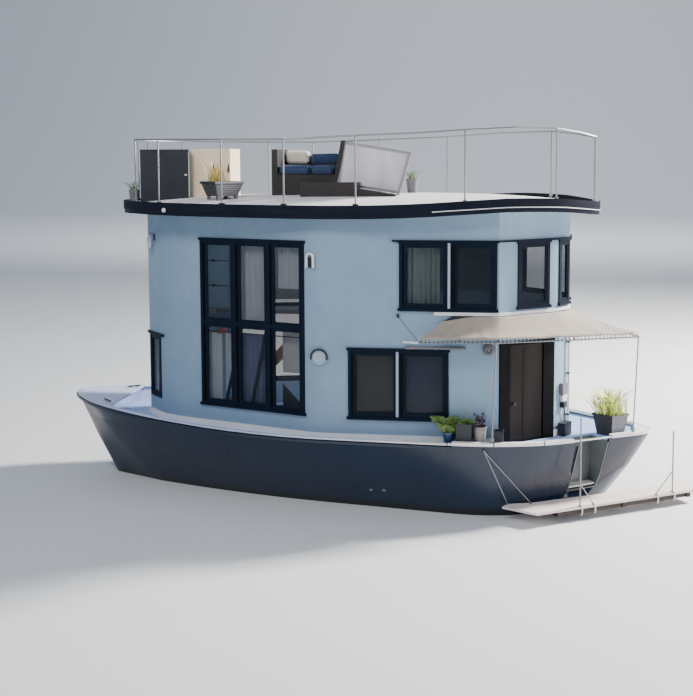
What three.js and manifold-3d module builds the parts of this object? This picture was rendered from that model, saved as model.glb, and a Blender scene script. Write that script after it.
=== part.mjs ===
import * as THREE from 'three';
import Module from 'manifold-3d';

// A two-storey houseboat on a double-ended displacement hull.
// Millimetres. +X is forward, +Y is port, +Z is up, z = 0 is the waterline.

// Driving dimensions
const tipX = 6100;             // half the overall length of the hull
const draught = 720;           // waterline to the flat bottom
const skegDepth = 930;         // waterline to the underside of the skeg
const midSheer = 1470;         // gunwale above the water amidships
const bowRise = 290;           // extra height of the gunwale at the bow tip
const sternDrop = 85;          // gunwale drop at the stern tip
const bulwarkThick = 55;
const deckTop = 1380;
const deckThick = 38;
const wallThick = 90;
const wallFoot = 1381;
const wallSplit = 3700;        // joint between the lower and the upper house wall
const wallHead = 5840;         // underside of the roof slab
const fasciaFoot = 5692;       // lower edge of the fascia amidships
const roofTop = 5948;          // upper edge of the fascia amidships
const roofCamber = 200;        // height of the roof's crown over its edge, where it is widest
const roofFoot = roofTop - 60; // what stands on the roof starts here and is trimmed to its crown
const floorTop = 3560;         // upper floor
const gap = 1;                 // air left between neighbouring pieces

const wasm = await Module();
wasm.setup();
const { Manifold, Mesh: ManifoldMesh } = wasm;

const houseboat = new THREE.Group();
houseboat.name = 'houseboat';

// Nested groups, each standing at the level its pieces are set out from
function subGroup(name, z) {
  const made = new THREE.Group();
  made.name = name;
  made.position.z = z;
  houseboat.add(made);
  return made;
}
const hullGroup = subGroup('hull_group', 0);
const houseGroup = subGroup('house_group', deckTop);
const roofGroup = subGroup('roof_group', roofTop);
const awningGroup = subGroup('awning_group', deckTop);
const platformGroup = subGroup('platform_group', 0);

// Colour, roughness and metalness of each kind of surface
const finishes = {
  hullPaint: [0x1c2a36, 0.3, 0.0],
  whitePaint: [0xe4e3e2, 0.5, 0.0],
  wallPaint: [0xd3dbe6, 0.55, 0.0],
  fasciaPaint: [0x252b38, 0.45, 0.0],
  trimPaint: [0x14202e, 0.4, 0.0],
  doorPaint: [0x46403d, 0.5, 0.0],
  glass: [0x8a99a6, 0.05, 0.0],
  steel: [0x9a9b9c, 0.4, 1.0],
  navyCloth: [0x1f3350, 0.9, 0.0],
  awningCloth: [0xb5a99f, 0.9, 0.0],
  paleWood: [0xd9cbc6, 0.8, 0.0],
  wetWood: [0x4a3228, 0.6, 0.0],
  cabinWood: [0xa17a52, 0.6, 0.0],
  greyPlastic: [0x7d8188, 0.7, 0.0],
};

// Solid helpers

function signedVolume(verts, tris) {
  const a = new THREE.Vector3();
  const b = new THREE.Vector3();
  const c = new THREE.Vector3();
  let sum = 0;
  for (let i = 0; i < tris.length; i += 3) {
    a.fromArray(verts, tris[i] * 3);
    b.fromArray(verts, tris[i + 1] * 3);
    c.fromArray(verts, tris[i + 2] * 3);
    sum += a.dot(b.cross(c));
  }
  return sum;
}

// Geometry as a closed solid with its faces pointing out
function toManifold(geometry) {
  const g = geometry.index ? geometry.toNonIndexed() : geometry;
  const pos = g.getAttribute('position');
  const map = new Map();
  const verts = [];
  const tris = [];
  const id = (i) => {
    const x = Math.round(pos.getX(i) * 1000) / 1000;
    const y = Math.round(pos.getY(i) * 1000) / 1000;
    const z = Math.round(pos.getZ(i) * 1000) / 1000;
    const k = `${x},${y},${z}`;
    if (!map.has(k)) {
      map.set(k, verts.length / 3);
      verts.push(x, y, z);
    }
    return map.get(k);
  };
  for (let i = 0; i < pos.count; i += 3) {
    const a = id(i);
    const b = id(i + 1);
    const c = id(i + 2);
    if (a !== b && b !== c && a !== c) tris.push(a, b, c);
  }
  if (signedVolume(verts, tris) < 0) {
    for (let i = 0; i < tris.length; i += 3) [tris[i], tris[i + 1]] = [tris[i + 1], tris[i]];
  }
  return new Manifold(new ManifoldMesh({
    numProp: 3,
    vertProperties: new Float32Array(verts),
    triVerts: new Uint32Array(tris),
  }));
}

function fromManifold(solid) {
  const m = solid.getMesh();
  const g = new THREE.BufferGeometry();
  const flat = new Float32Array(m.triVerts.length * 3);
  for (let i = 0; i < m.triVerts.length; i++) {
    const v = m.triVerts[i] * m.numProp;
    flat[3 * i] = m.vertProperties[v];
    flat[3 * i + 1] = m.vertProperties[v + 1];
    flat[3 * i + 2] = m.vertProperties[v + 2];
  }
  g.setAttribute('position', new THREE.BufferAttribute(flat, 3));
  g.computeVertexNormals();
  return g;
}

// One named piece: its geometry is centred, and its place is the mesh's position in its group
function add(parent, name, finish, solids) {
  const list = Array.isArray(solids) ? solids : [solids];
  const solid = list.length === 1 ? list[0] : Manifold.union(list);
  const geometry = fromManifold(solid);
  geometry.computeBoundingBox();
  const centre = geometry.boundingBox.getCenter(new THREE.Vector3()).round();
  geometry.translate(-centre.x, -centre.y, -centre.z);
  const [color, roughness, metalness] = finishes[finish];
  const material = new THREE.MeshStandardMaterial({ color, roughness, metalness });
  const mesh = new THREE.Mesh(geometry, material);
  mesh.name = name;
  mesh.position.copy(centre).sub(parent.position);
  parent.add(mesh);
}

function box(x0, x1, y0, y1, z0, z1) {
  const g = new THREE.BoxGeometry(x1 - x0, y1 - y0, z1 - z0);
  g.translate((x0 + x1) / 2, (y0 + y1) / 2, (z0 + z1) / 2);
  return toManifold(g);
}

function ccw(points) {
  const area = THREE.ShapeUtils.area(points.map((p) => new THREE.Vector2(p[0], p[1])));
  return area > 0 ? points : [...points].reverse();
}

// Upright prism over a plan outline given counter-clockwise seen from above
function prism(points, z0, z1) {
  const shape = new THREE.Shape(points.map((p) => new THREE.Vector2(p[0], p[1])));
  const g = new THREE.ExtrudeGeometry(shape, { depth: z1 - z0, bevelEnabled: false });
  g.translate(0, 0, z0);
  return toManifold(g);
}

// Bar of rectangular section between two points, width across the line seen from above
function bar(a, b, width, height) {
  const start = new THREE.Vector3(...a);
  const end = new THREE.Vector3(...b);
  const length = start.distanceTo(end);
  const g = new THREE.BoxGeometry(length, width, height);
  const dir = end.clone().sub(start).normalize();
  const side = new THREE.Vector3(0, 0, 1).cross(dir);
  if (side.length() < 1e-6) side.set(0, 1, 0);
  side.normalize();
  const up = dir.clone().cross(side);
  const m = new THREE.Matrix4().makeBasis(dir, side, up);
  m.setPosition(start.add(end).multiplyScalar(0.5));
  g.applyMatrix4(m);
  return toManifold(g);
}

function rod(a, b, radius, sides = 8) {
  const start = new THREE.Vector3(...a);
  const end = new THREE.Vector3(...b);
  const g = new THREE.CylinderGeometry(radius, radius, start.distanceTo(end), sides);
  const dir = end.clone().sub(start).normalize();
  const q = new THREE.Quaternion().setFromUnitVectors(new THREE.Vector3(0, 1, 0), dir);
  g.applyQuaternion(q);
  g.translate((a[0] + b[0]) / 2, (a[1] + b[1]) / 2, (a[2] + b[2]) / 2);
  return toManifold(g);
}

// Turned solid about an upright axis, from [radius, height] pairs closed on the axis
function turned(profile, x, y, z, sides = 20) {
  const g = new THREE.LatheGeometry(profile.map((p) => new THREE.Vector2(p[0], p[1])), sides);
  g.rotateX(Math.PI / 2);
  g.translate(x, y, z);
  return toManifold(g);
}

// Band swept through sections, each a closed loop whose second half runs back under the first;
// an open band gets its two ends closed strip by strip
function band(sections, closed) {
  const verts = [];
  const n = sections[0].length;
  const quad = (a, b, c, d) => verts.push(...a, ...b, ...c, ...a, ...c, ...d);
  const last = closed ? sections.length : sections.length - 1;
  for (let i = 0; i < last; i++) {
    const s = sections[i];
    const t = sections[(i + 1) % sections.length];
    for (let k = 0; k < n; k++) {
      const m = (k + 1) % n;
      quad(s[k], t[k], t[m], s[m]);
    }
  }
  if (!closed) {
    const first = sections[0];
    const end = sections[sections.length - 1];
    for (let k = 0; k < n / 2 - 1; k++) {
      const m = n - 1 - k;
      quad(first[k], first[k + 1], first[m - 1], first[m]);
      quad(end[k], end[m], end[m - 1], end[k + 1]);
    }
  }
  const g = new THREE.BufferGeometry();
  g.setAttribute('position', new THREE.BufferAttribute(new Float32Array(verts), 3));
  return toManifold(g);
}

// Hull lines: [x, half breadth] from the bow tip to the stern tip
const gunwaleLine = [
  [6100, 40], [6060, 165], [5940, 350], [5700, 600], [5430, 830], [4800, 1170], [3700, 1560],
  [2140, 1950], [720, 2135], [-720, 2170], [-2170, 2150], [-3070, 2060], [-3980, 1760],
  [-4650, 1330], [-5110, 980], [-5560, 650], [-5950, 330], [-6070, 150], [-6100, 40],
];
const waterLine = [
  [5220, 40], [5120, 90], [4850, 200], [4450, 370], [4050, 550], [3400, 750], [2700, 930],
  [1700, 1160], [600, 1350], [-700, 1500], [-1900, 1640], [-2700, 1700], [-3400, 1580],
  [-3980, 1270], [-4400, 960], [-4760, 650], [-5020, 345], [-5130, 130], [-5180, 40],
];
const bottomLine = [
  [4250, 40], [4150, 85], [3950, 165], [3650, 290], [3250, 430], [2750, 580], [2150, 730],
  [1300, 920], [400, 1080], [-600, 1220], [-1600, 1340], [-2300, 1350], [-2900, 1240],
  [-3350, 1000], [-3700, 730], [-3950, 470], [-4130, 240], [-4210, 100], [-4250, 40],
];

function sheer(x) {
  const s = x / tipX;
  return x > 0 ? midSheer + bowRise * s * s : midSheer - sternDrop * s * s;
}

function railCurve(line) {
  const pts = line.map((p) => new THREE.Vector3(p[0], p[1], 0));
  return new THREE.CatmullRomCurve3(pts, false, 'centripetal');
}

const stationCount = 46;
const gunwaleCurve = railCurve(gunwaleLine);
const waterCurve = railCurve(waterLine);
const bottomCurve = railCurve(bottomLine);

function stationPoints(curve, i) {
  const p = curve.getPoint(i / stationCount);
  return [p.x, Math.max(p.y, 30)];
}

// Normal of the gunwale in plan at a station, pointing outboard on the port side
function gunwaleNormal(i) {
  const a = gunwaleCurve.getPoint(Math.max(0, i / stationCount - 0.004));
  const b = gunwaleCurve.getPoint(Math.min(1, i / stationCount + 0.004));
  const t = b.sub(a).normalize();
  return [t.y, -t.x];
}

// Gunwale point moved inboard or outboard, in plan, clear of the centreline
function gunwaleAt(i, out) {
  const [x, y] = stationPoints(gunwaleCurve, i);
  const n = gunwaleNormal(i);
  return [x + n[0] * out, y + n[1] * out];
}

// Solid hull, grown outwards or inwards in plan, its sides run on above the sheer by a height
function hullSolid(grow, raise = 0) {
  const rows = [];
  for (let i = 0; i <= stationCount; i++) {
    const [gx, gy] = stationPoints(gunwaleCurve, i);
    const [wx, wy] = stationPoints(waterCurve, i);
    const [bx, by] = stationPoints(bottomCurve, i);
    const n = gunwaleNormal(i);
    const o = [n[0] * grow, n[1] * grow];
    const mid = (a, b, f) => a + (b - a) * f;
    const bulge = 22 * Math.min(1, gy / 900);
    const edge = [gx + o[0], gy + o[1], sheer(gx)];
    const below = [mid(gx, wx, 0.45) + o[0], mid(gy, wy, 0.42) + o[1] + bulge, mid(sheer(gx), 0, 0.5)];
    const reach = raise / (edge[2] - below[2]);
    rows.push([
      edge.map((v, k) => v + (v - below[k]) * reach),
      below,
      [wx + o[0], wy + o[1], 0],
      [mid(wx, bx, 0.3) + o[0], mid(wy, by, 0.22) + o[1], -draught * 0.45],
      [mid(wx, bx, 0.72) + o[0], mid(wy, by, 0.62) + o[1], -draught * 0.84],
      [bx, by, -draught],
    ].map(([x, y, z]) => [x, Math.max(y, 6), z]));
  }
  const sections = rows.map((r) => {
    const port = r;
    const star = r.map((p) => [p[0], -p[1], p[2]]).reverse();
    return [...port, ...star];
  });
  return band(sections, false);
}

// Boarding recess in the port quarter: a leaning parallelogram cut square to the hull side
const recessCentre = [-4870, 1160];
const recessAlong = [-0.8, -0.6];
const recessOut = [-0.6, 0.8];
function recessPrism(shrink, deep, outward) {
  const pts = [
    [-200 + shrink, 1800], [520 - shrink, 1800], [515 - shrink, 1480],
    [445 - shrink, 370 + shrink], [-280 + shrink, 370 + shrink], [-215 + shrink, 1400],
  ];
  const shape = new THREE.Shape(pts.map((p) => new THREE.Vector2(p[0], p[1])));
  const g = new THREE.ExtrudeGeometry(shape, { depth: deep + outward, bevelEnabled: false });
  g.translate(0, 0, -deep);
  const m = new THREE.Matrix4().makeBasis(
    new THREE.Vector3(recessAlong[0], recessAlong[1], 0),
    new THREE.Vector3(0, 0, 1),
    new THREE.Vector3(recessOut[0], recessOut[1], 0),
  );
  m.setPosition(recessCentre[0], recessCentre[1], 0);
  g.applyMatrix4(m);
  return toManifold(g);
}

// The hull ends under the deck, and the bulwark stands on it round the deck's edge
const hullHead = deckTop - deckThick - 5;
const hullForm = hullSolid(0).subtract(recessPrism(0, 560, 900));
const aboveDeck = box(-7000, 7000, -3000, 3000, hullHead, 3000);
add(hullGroup, 'hull', 'hullPaint', hullForm.subtract(aboveDeck));
const bulwarkZone = box(-7000, 7000, -3000, 3000, hullHead + gap, 3000);
const wellRaise = 600;
const well = hullSolid(-bulwarkThick, wellRaise);
add(hullGroup, 'bulwark', 'hullPaint', hullForm.intersect(bulwarkZone).subtract(well));

// Skeg under the flat bottom, let in to carry the boat when she is lifted out
const skeg = prism([[-4050, -45], [3300, -45], [3300, 45], [-4050, 45]], -skegDepth, -draught - gap);
add(hullGroup, 'keel_skeg', 'hullPaint', skeg);

// Cleat: two legs and a horn bar
function cleat(x, y, angle, base = deckTop) {
  const c = Math.cos(angle);
  const s = Math.sin(angle);
  const length = 300;
  const at = (u, h) => [x + c * u, y + s * u, base + h];
  const solids = [rod(at(-length / 2, 54), at(length / 2, 54), 15)];
  for (const u of [-0.22 * length, 0.22 * length]) {
    solids.push(rod(at(u, -2), at(u, 54), 13));
    solids.push(rod(at(u, -2), at(u, 9), 34));
  }
  return solids;
}

const deckSlab = box(-7000, 7000, -3000, 3000, deckTop - deckThick, deckTop);
const deckInner = hullSolid(-bulwarkThick - 2, wellRaise).intersect(deckSlab);
add(hullGroup, 'main_deck', 'whitePaint', [
  deckInner.subtract(recessPrism(-2, 562, 900)),
  ...cleat(2600, 1630, -0.27), ...cleat(-1700, 1960, 0),
  ...cleat(2600, -1630, 0.27), ...cleat(-1700, -1960, 0),
]);

// Gunwale pieces: a rectangular rail that follows the sheer
function railPiece(from, to, outer, inner, zLow, zHigh, mirror) {
  const sections = [];
  for (let i = from; i <= to; i++) {
    const o = gunwaleAt(i, outer);
    const n = gunwaleAt(i, -inner);
    o[1] = Math.max(o[1], 6);
    n[1] = Math.max(n[1], 5);
    if (inner > 0) n[0] = Math.max(-tipX + 70, Math.min(tipX - 70, n[0]));
    const zo = sheer(o[0]);
    const zn = sheer(n[0]);
    const m = mirror ? -1 : 1;
    sections.push([
      [o[0], o[1] * m, zo + zLow], [o[0], o[1] * m, zo + zHigh],
      [n[0], n[1] * m, zn + zHigh], [n[0], n[1] * m, zn + zLow],
    ]);
  }
  return band(sections, false);
}

function stationNear(x) {
  let best = 0;
  let err = Infinity;
  for (let i = 0; i <= stationCount; i++) {
    const d = Math.abs(stationPoints(gunwaleCurve, i)[0] - x);
    if (d < err) {
      err = d;
      best = i;
    }
  }
  return best;
}

// Plates between the bulwarks at both tips, flush with the rail and following the sheer
function tipPlate(fromX, zLow, zHigh) {
  const sections = [];
  for (let i = 0; i <= stationCount; i++) {
    const x = stationPoints(gunwaleCurve, i)[0];
    const p = gunwaleAt(i, -60);
    if ((fromX > 0 ? x > fromX : x < fromX) && p[1] > 8) {
      const z = sheer(x);
      sections.push([
        [p[0], p[1], z + zLow], [p[0], -p[1], z + zLow], [p[0], -p[1], z + zHigh], [p[0], p[1], z + zHigh],
      ]);
    }
  }
  return band(sections, false);
}

const aftStart = stationNear(-2250);
const gapStart = stationNear(-4500);
const gapEnd = stationNear(-5250);
const sternEnd = stationNear(-5990);
const lipA = gunwaleAt(gapStart, -20);
const lipB = gunwaleAt(gapEnd, -20);
add(hullGroup, 'cap_rail', 'whitePaint', [
  railPiece(0, aftStart + 1, 14, 85, gap, 30, false),
  railPiece(0, aftStart + 1, 14, 85, gap, 30, true),
  railPiece(aftStart, gapStart, 20, 100, gap, 62, false),
  railPiece(gapEnd, stationCount, 20, 100, gap, 62, false),
  railPiece(aftStart, stationCount, 20, 100, gap, 62, true),
  bar(
    [lipA[0] + 20, lipA[1] + 15, sheer(-4600) + 15],
    [lipB[0] - 20, lipB[1] - 15, sheer(-5200) + 15], 34, 26),
  tipPlate(4830, 4, 26),
  tipPlate(-5700, 8, 56),
  ...cleat(5130, 740, -0.7, sheer(5130) + 14),
  ...cleat(5130, -740, 0.7, sheer(5130) + 14),
]);
add(hullGroup, 'rub_rail', 'hullPaint', [
  railPiece(0, aftStart, 34, -gap, -70, -22, false),
  railPiece(0, sternEnd, 34, -gap, -70, -22, true),
  box(6103, 6140, -75, 75, sheer(6100) - 70, sheer(6100) - 22),
]);

// Liner of the boarding recess and the step inside it
const recessHole = recessPrism(2, 556, 900);
const liner = recessHole
  .subtract(recessPrism(24, 534, 1200))
  .intersect(hullSolid(8))
  .subtract(box(-7000, 0, 0, 3000, deckTop - deckThick - 8, 3000));
add(hullGroup, 'recess_liner', 'trimPaint', liner);
add(hullGroup, 'recess_step', 'whitePaint', recessPrism(26, 530, 900)
  .intersect(box(-7000, 0, 0, 3000, 430, 462))
  .intersect(hullSolid(-40)));

// House plan: facets on the port side from the bow to the stern, mirrored to starboard
const housePort = [
  [4360, 200], [3880, 700], [3520, 880], [3020, 1045], [450, 1775], [150, 1800],
  [-3175, 1640], [-4209, 772], [-4475, 280],
];
const houseOutline = [...housePort, ...housePort.map((p) => [p[0], -p[1]]).reverse()];

// Outline moved inwards by a distance, corners mitred
function offsetOutline(points, distance) {
  const n = points.length;
  const area = THREE.ShapeUtils.area(points.map((p) => new THREE.Vector2(p[0], p[1])));
  const sign = area > 0 ? 1 : -1;
  const lines = points.map((p, i) => {
    const q = points[(i + 1) % n];
    const dx = q[0] - p[0];
    const dy = q[1] - p[1];
    const len = Math.hypot(dx, dy);
    const nx = (-dy / len) * sign;
    const ny = (dx / len) * sign;
    return { px: p[0] + nx * distance, py: p[1] + ny * distance, dx: dx / len, dy: dy / len };
  });
  return points.map((_, i) => {
    const a = lines[(i + n - 1) % n];
    const b = lines[i];
    const det = a.dx * b.dy - a.dy * b.dx;
    const t = ((b.px - a.px) * b.dy - (b.py - a.py) * b.dx) / det;
    return [a.px + a.dx * t, a.py + a.dy * t];
  });
}

function wallRing(outward, inward, z0, z1) {
  const outer = prism(ccw(offsetOutline(houseOutline, -outward)), z0, z1);
  const inner = prism(ccw(offsetOutline(houseOutline, inward)), z0 - 10, z1 + 10);
  return outer.subtract(inner);
}

// Facets of the house: start, end, along and outward directions; starboard ones are mirrored
function facet(a, b) {
  const dx = b[0] - a[0];
  const dy = b[1] - a[1];
  const len = Math.hypot(dx, dy);
  return { a, along: [dx / len, dy / len], out: [dy / len, -dx / len], len };
}
const bowFacet = facet(housePort[0], housePort[1]);
const foreFacet = facet(housePort[3], housePort[4]);
const sideFacet = facet(housePort[5], housePort[6]);
const quarterFacet = facet(housePort[6], housePort[7]);
const cornerFacet = facet(housePort[7], housePort[8]);
for (const f of [bowFacet, foreFacet, sideFacet, quarterFacet, cornerFacet]) {
  f.out = [-f.along[1], f.along[0]];
  if (f.out[1] < 0) f.out = [f.along[1], -f.along[0]];
}

// Box on a facet: from s0 to s1 along it, z0 to z1 up, d0 to d1 outwards from the wall face
function onFacet(f, s0, s1, z0, z1, d0, d1, mirror = false) {
  const g = new THREE.BoxGeometry(s1 - s0, d1 - d0, z1 - z0);
  g.translate((s0 + s1) / 2, (d0 + d1) / 2, (z0 + z1) / 2);
  const m = new THREE.Matrix4().makeBasis(
    new THREE.Vector3(f.along[0], f.along[1], 0),
    new THREE.Vector3(f.out[0], f.out[1], 0),
    new THREE.Vector3(0, 0, 1),
  );
  m.setPosition(f.a[0], f.a[1], 0);
  g.applyMatrix4(m);
  if (mirror) g.scale(1, -1, 1);
  return toManifold(g);
}

// A window: outer frame size on a facet, panes across and up, frame bars and glass
const frameBar = 62;
function windowFrame(f, s0, s1, z0, z1, cols, rows, mirror, bar1 = frameBar, bar2 = 78) {
  let solid = onFacet(f, s0, s1, z0, z1, -20, 26, mirror);
  for (const p of panes(s0, s1, z0, z1, cols, rows, bar1, bar2)) {
    solid = solid.subtract(onFacet(f, p[0], p[1], p[2], p[3], -80, 60, mirror));
  }
  const head = onFacet(f, s0 - 28, s1 + 28, z1 - 20, z1 + 32, gap, 44, mirror);
  const sill = onFacet(f, s0 - 28, s1 + 28, z0 - 32, z0 + 20, gap, 52, mirror);
  return [solid, head, sill];
}
function panes(s0, s1, z0, z1, cols, rows, bar1, bar2) {
  const out = [];
  const w = (s1 - s0 - 2 * bar1 - (cols - 1) * bar2) / cols;
  const h = (z1 - z0 - 2 * bar1 - (rows - 1) * bar2) / rows;
  for (let c = 0; c < cols; c++) {
    for (let r = 0; r < rows; r++) {
      const s = s0 + bar1 + c * (w + bar2);
      const z = z0 + bar1 + r * (h + bar2);
      out.push([s, s + w, z, z + h]);
    }
  }
  return out;
}
function windowGlass(f, s0, s1, z0, z1, cols, rows, mirror) {
  return onFacet(f, s0 + gap, s1 - gap, z0 + gap, z1 - gap, -33, -21, mirror);
}

// Window places: facet, along from and to, sill and head, columns, rows
const bigWindow = [foreFacet, 130, 2545, 1850, 5225, 3, 2];
const lowWindow = [sideFacet, 445, 2385, 1830, 3170, 2, 1];
const upWindow = [sideFacet, 1435, 3290, 3960, 5255, 2, 1];
const quarterWindow = [quarterFacet, 432, 1194, 3985, 5235, 1, 1];
const cornerWindow = [cornerFacet, 120, 530, 3985, 5235, 1, 1];
const bowWindow = [bowFacet, 70, 600, 1810, 3150, 1, 1];
const both = [false, true];

function cutFor(w, mirror) {
  return onFacet(w[0], w[1] - 2, w[2] + 2, w[3] - 2, w[4] + 2, -160, 60, mirror);
}

// Entrance door in the quarter facet, port side only
const doorFrame = { s0: 12, s1: 1318, z0: wallFoot, z1: 3330 };
const doorLeaf = { s0: 261, s1: 1048, z0: wallFoot + 28, z1: 3262 };
const cuts = [];
for (const m of both) {
  for (const w of [bigWindow, lowWindow, upWindow, quarterWindow, cornerWindow, bowWindow]) {
    cuts.push(cutFor(w, m));
  }
}
const { s0: doorFore, s1: doorAft, z0: doorFoot, z1: doorHead } = doorFrame;
cuts.push(onFacet(quarterFacet, doorFore - 2, doorAft + 2, doorFoot - 2, doorHead + 2, -400, 60));
const allCuts = Manifold.union(cuts);

const coamingHigh = 126;
const coaming = wallRing(32, -gap, wallFoot, wallFoot + coamingHigh);
add(houseGroup, 'house_coaming', 'whitePaint', coaming.subtract(allCuts));
const lowerRing = wallRing(0, wallThick, wallFoot, wallSplit - gap);
const upperRing = wallRing(0, wallThick, wallSplit, wallHead - gap);
add(houseGroup, 'lower_house_wall', 'wallPaint', lowerRing.subtract(allCuts));
add(houseGroup, 'upper_house_wall', 'wallPaint', upperRing.subtract(allCuts));

// Ledger trim round the after part of the house, over the entrance
const aftPart = box(-5000, -1950, -3000, 3000, 3800, 4000);
add(houseGroup, 'ledger_trim', 'wallPaint', wallRing(30, -gap, 3855, 3918).intersect(aftPart));

const floorOutline = ccw(offsetOutline(houseOutline, wallThick + 3));
add(houseGroup, 'upper_floor', 'cabinWood', prism(floorOutline, floorTop - 90, floorTop)
  .subtract(box(500, 3150, -700, 2200, floorTop - 200, floorTop + 100)));

const sideNames = ['port', 'starboard'];
both.forEach((m, i) => {
  const side = sideNames[i];
  add(houseGroup, `big_window_frame_${side}`, 'trimPaint', windowFrame(...bigWindow, m));
  add(houseGroup, `big_window_glass_${side}`, 'glass', windowGlass(...bigWindow, m));
  add(houseGroup, `lower_window_frame_${side}`, 'trimPaint', windowFrame(...lowWindow, m));
  add(houseGroup, `lower_window_glass_${side}`, 'glass', windowGlass(...lowWindow, m));
  add(houseGroup, `upper_window_glass_${side}`, 'glass', windowGlass(...upWindow, m));
  add(houseGroup, `quarter_window_glass_${side}`, 'glass', windowGlass(...quarterWindow, m));
  add(houseGroup, `corner_window_glass_${side}`, 'glass', windowGlass(...cornerWindow, m));
  add(houseGroup, `bow_window_glass_${side}`, 'glass', windowGlass(...bowWindow, m));
});

// Frames of the after upper windows share one head trim on each side, up to the stern's centre
const headTrim = wallRing(44, -gap, 5252, 5287);
const sternHalf = (m) => (m
  ? box(-5000, -1150, -3000, -gap, 5200, 5400)
  : box(-5000, -1150, gap, 3000, 5200, 5400));
both.forEach((m, i) => {
  add(houseGroup, `aft_window_frames_${sideNames[i]}`, 'trimPaint', [
    headTrim.intersect(sternHalf(m)),
    ...windowFrame(...upWindow, m),
    ...windowFrame(...quarterWindow, m),
    ...windowFrame(...cornerWindow, m),
  ]);
});
const bowTrim = wallRing(40, -gap, 3130, 3182).intersect(box(3840, 5000, -3000, 3000, 3000, 3400));
add(houseGroup, 'bow_window_frames', 'trimPaint', [
  bowTrim,
  ...both.flatMap((m) => windowFrame(...bowWindow, m).slice(0, 1)),
]);

// Door frame, leaf and handle
{
  const f = quarterFacet;
  const d = doorFrame;
  const frame = onFacet(f, d.s0, d.s1, d.z0, d.z1, -85, 34)
    .subtract(onFacet(f, doorLeaf.s0 - 6, doorLeaf.s1 + 6, doorLeaf.z0 - 6, doorLeaf.z1 + 6, -300, 100));
  add(houseGroup, 'door_frame', 'trimPaint', frame);
  const leaf = onFacet(f, doorLeaf.s0, doorLeaf.s1, doorLeaf.z0, doorLeaf.z1, -44, 0)
    .subtract(onFacet(f, doorLeaf.s0 + 300, doorLeaf.s0 + 330, doorLeaf.z0 + 60, doorLeaf.z1 - 60, -8, 20));
  add(houseGroup, 'entrance_door', 'doorPaint', leaf);
  const c = [doorLeaf.s0 + 75, 2140];
  const knob = (d0, d1, r) => {
    const p = (dist) => [
      f.a[0] + f.along[0] * c[0] + f.out[0] * dist,
      f.a[1] + f.along[1] * c[0] + f.out[1] * dist,
      c[1],
    ];
    return rod(p(d0), p(d1), r, 20);
  };
  add(houseGroup, 'door_knob', 'trimPaint', [knob(gap, 14, 34), knob(12, 42, 13), knob(40, 74, 30)]);
}

// Roof: structural slab, charcoal fascia ring with a sheer of its own, white walking deck
const roofLine = [
  [4840, 60], [4820, 300], [4700, 660], [4400, 1060], [3700, 1500], [2700, 1830], [1500, 2050],
  [0, 2170], [-1500, 2170], [-2600, 2060], [-3500, 1780], [-4300, 1300], [-4820, 720], [-5035, 300],
  [-5060, 60],
];
const roofWide = 2170;
const roofSteps = 30;
function roofOutline(inset) {
  const curve = railCurve(roofLine);
  const port = [];
  for (let i = 0; i <= roofSteps; i++) {
    const p = curve.getPoint(i / roofSteps);
    port.push([p.x, Math.max(p.y, 40)]);
  }
  const outline = ccw([...port, ...port.map((p) => [p[0], -p[1]]).reverse()]);
  return inset ? offsetOutline(outline, inset) : outline;
}

// Crowned layer of the roof: straight underneath or crowned there too, crowned on top
const crownSteps = 8;
function crownedLayer(inset, low, high, flatUnder) {
  const port = roofOutline(inset).filter((p) => p[1] > 0).sort((a, b) => b[0] - a[0]);
  return band(port.map(([x, y]) => {
    const crown = roofCamber * (y / roofWide) ** 2;
    const rise = (t) => crown * (1 - t * t);
    const steps = [...Array(crownSteps + 1).keys()].map((k) => 1 - (2 * k) / crownSteps);
    const above = steps.map((t) => [x, y * t, high + rise(t)]);
    const under = [...steps].reverse().map((t) => [x, y * t, low + (flatUnder ? 0 : rise(t))]);
    return [...above, ...under];
  }), false);
}

// Height the fascia gains along the boat, from the photograph's roof edge: [x, rise]
const fasciaRise = [
  [-5100, 15], [-4800, 62], [-4450, 108], [-4000, 132], [-3400, 138], [-2540, 92], [-1800, 45],
  [-1000, 12], [300, 0], [1700, 14], [3300, 25], [4200, 42], [5000, 42],
];
function riseAt(x) {
  for (let i = 1; i < fasciaRise.length; i++) {
    const [x0, r0] = fasciaRise[i - 1];
    const [x1, r1] = fasciaRise[i];
    if (x <= x1) return r0 + ((r1 - r0) * Math.max(0, x - x0)) / (x1 - x0);
  }
  return fasciaRise[fasciaRise.length - 1][1];
}
const fasciaThick = 41;
const fasciaStep = 16;         // the lower board stands back behind the upper one
const lowerBoard = 86;
const hatch = { x0: 2480, x1: 3370, y0: -420, y1: 300 };
const hatchHole = box(hatch.x0 + 40, hatch.x1 - 40, hatch.y0 + 40, hatch.y1 - 40, 5000, 6300);
const slab = crownedLayer(fasciaThick + 2, wallHead, roofTop - 46, true).subtract(hatchHole);
add(roofGroup, 'roof_slab', 'whitePaint', slab);
{
  const outer = roofOutline(0);
  const back = roofOutline(fasciaStep);
  const inner = roofOutline(fasciaThick);
  add(roofGroup, 'roof_fascia', 'fasciaPaint', band(outer.map((o, i) => {
    const low = fasciaFoot + riseAt(o[0]);
    const high = roofTop + riseAt(o[0]);
    return [
      [...o, high], [...inner[i], high], [...inner[i], low],
      [...back[i], low], [...back[i], low + lowerBoard], [...o, low + lowerBoard],
    ];
  }), true));
}
const walkway = crownedLayer(fasciaThick + 2, roofTop - 37, roofTop - 6, false).subtract(hatchHole);
add(roofGroup, 'roof_deck', 'whitePaint', walkway);

// Solid trimmed to stand just clear of the crowned roof deck
const underRoofDeck = crownedLayer(fasciaThick + 2, 5000, roofTop - 5, true);
function onRoof(solids) {
  const list = Array.isArray(solids) ? solids : [solids];
  return Manifold.union(list).subtract(underRoofDeck);
}

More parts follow.
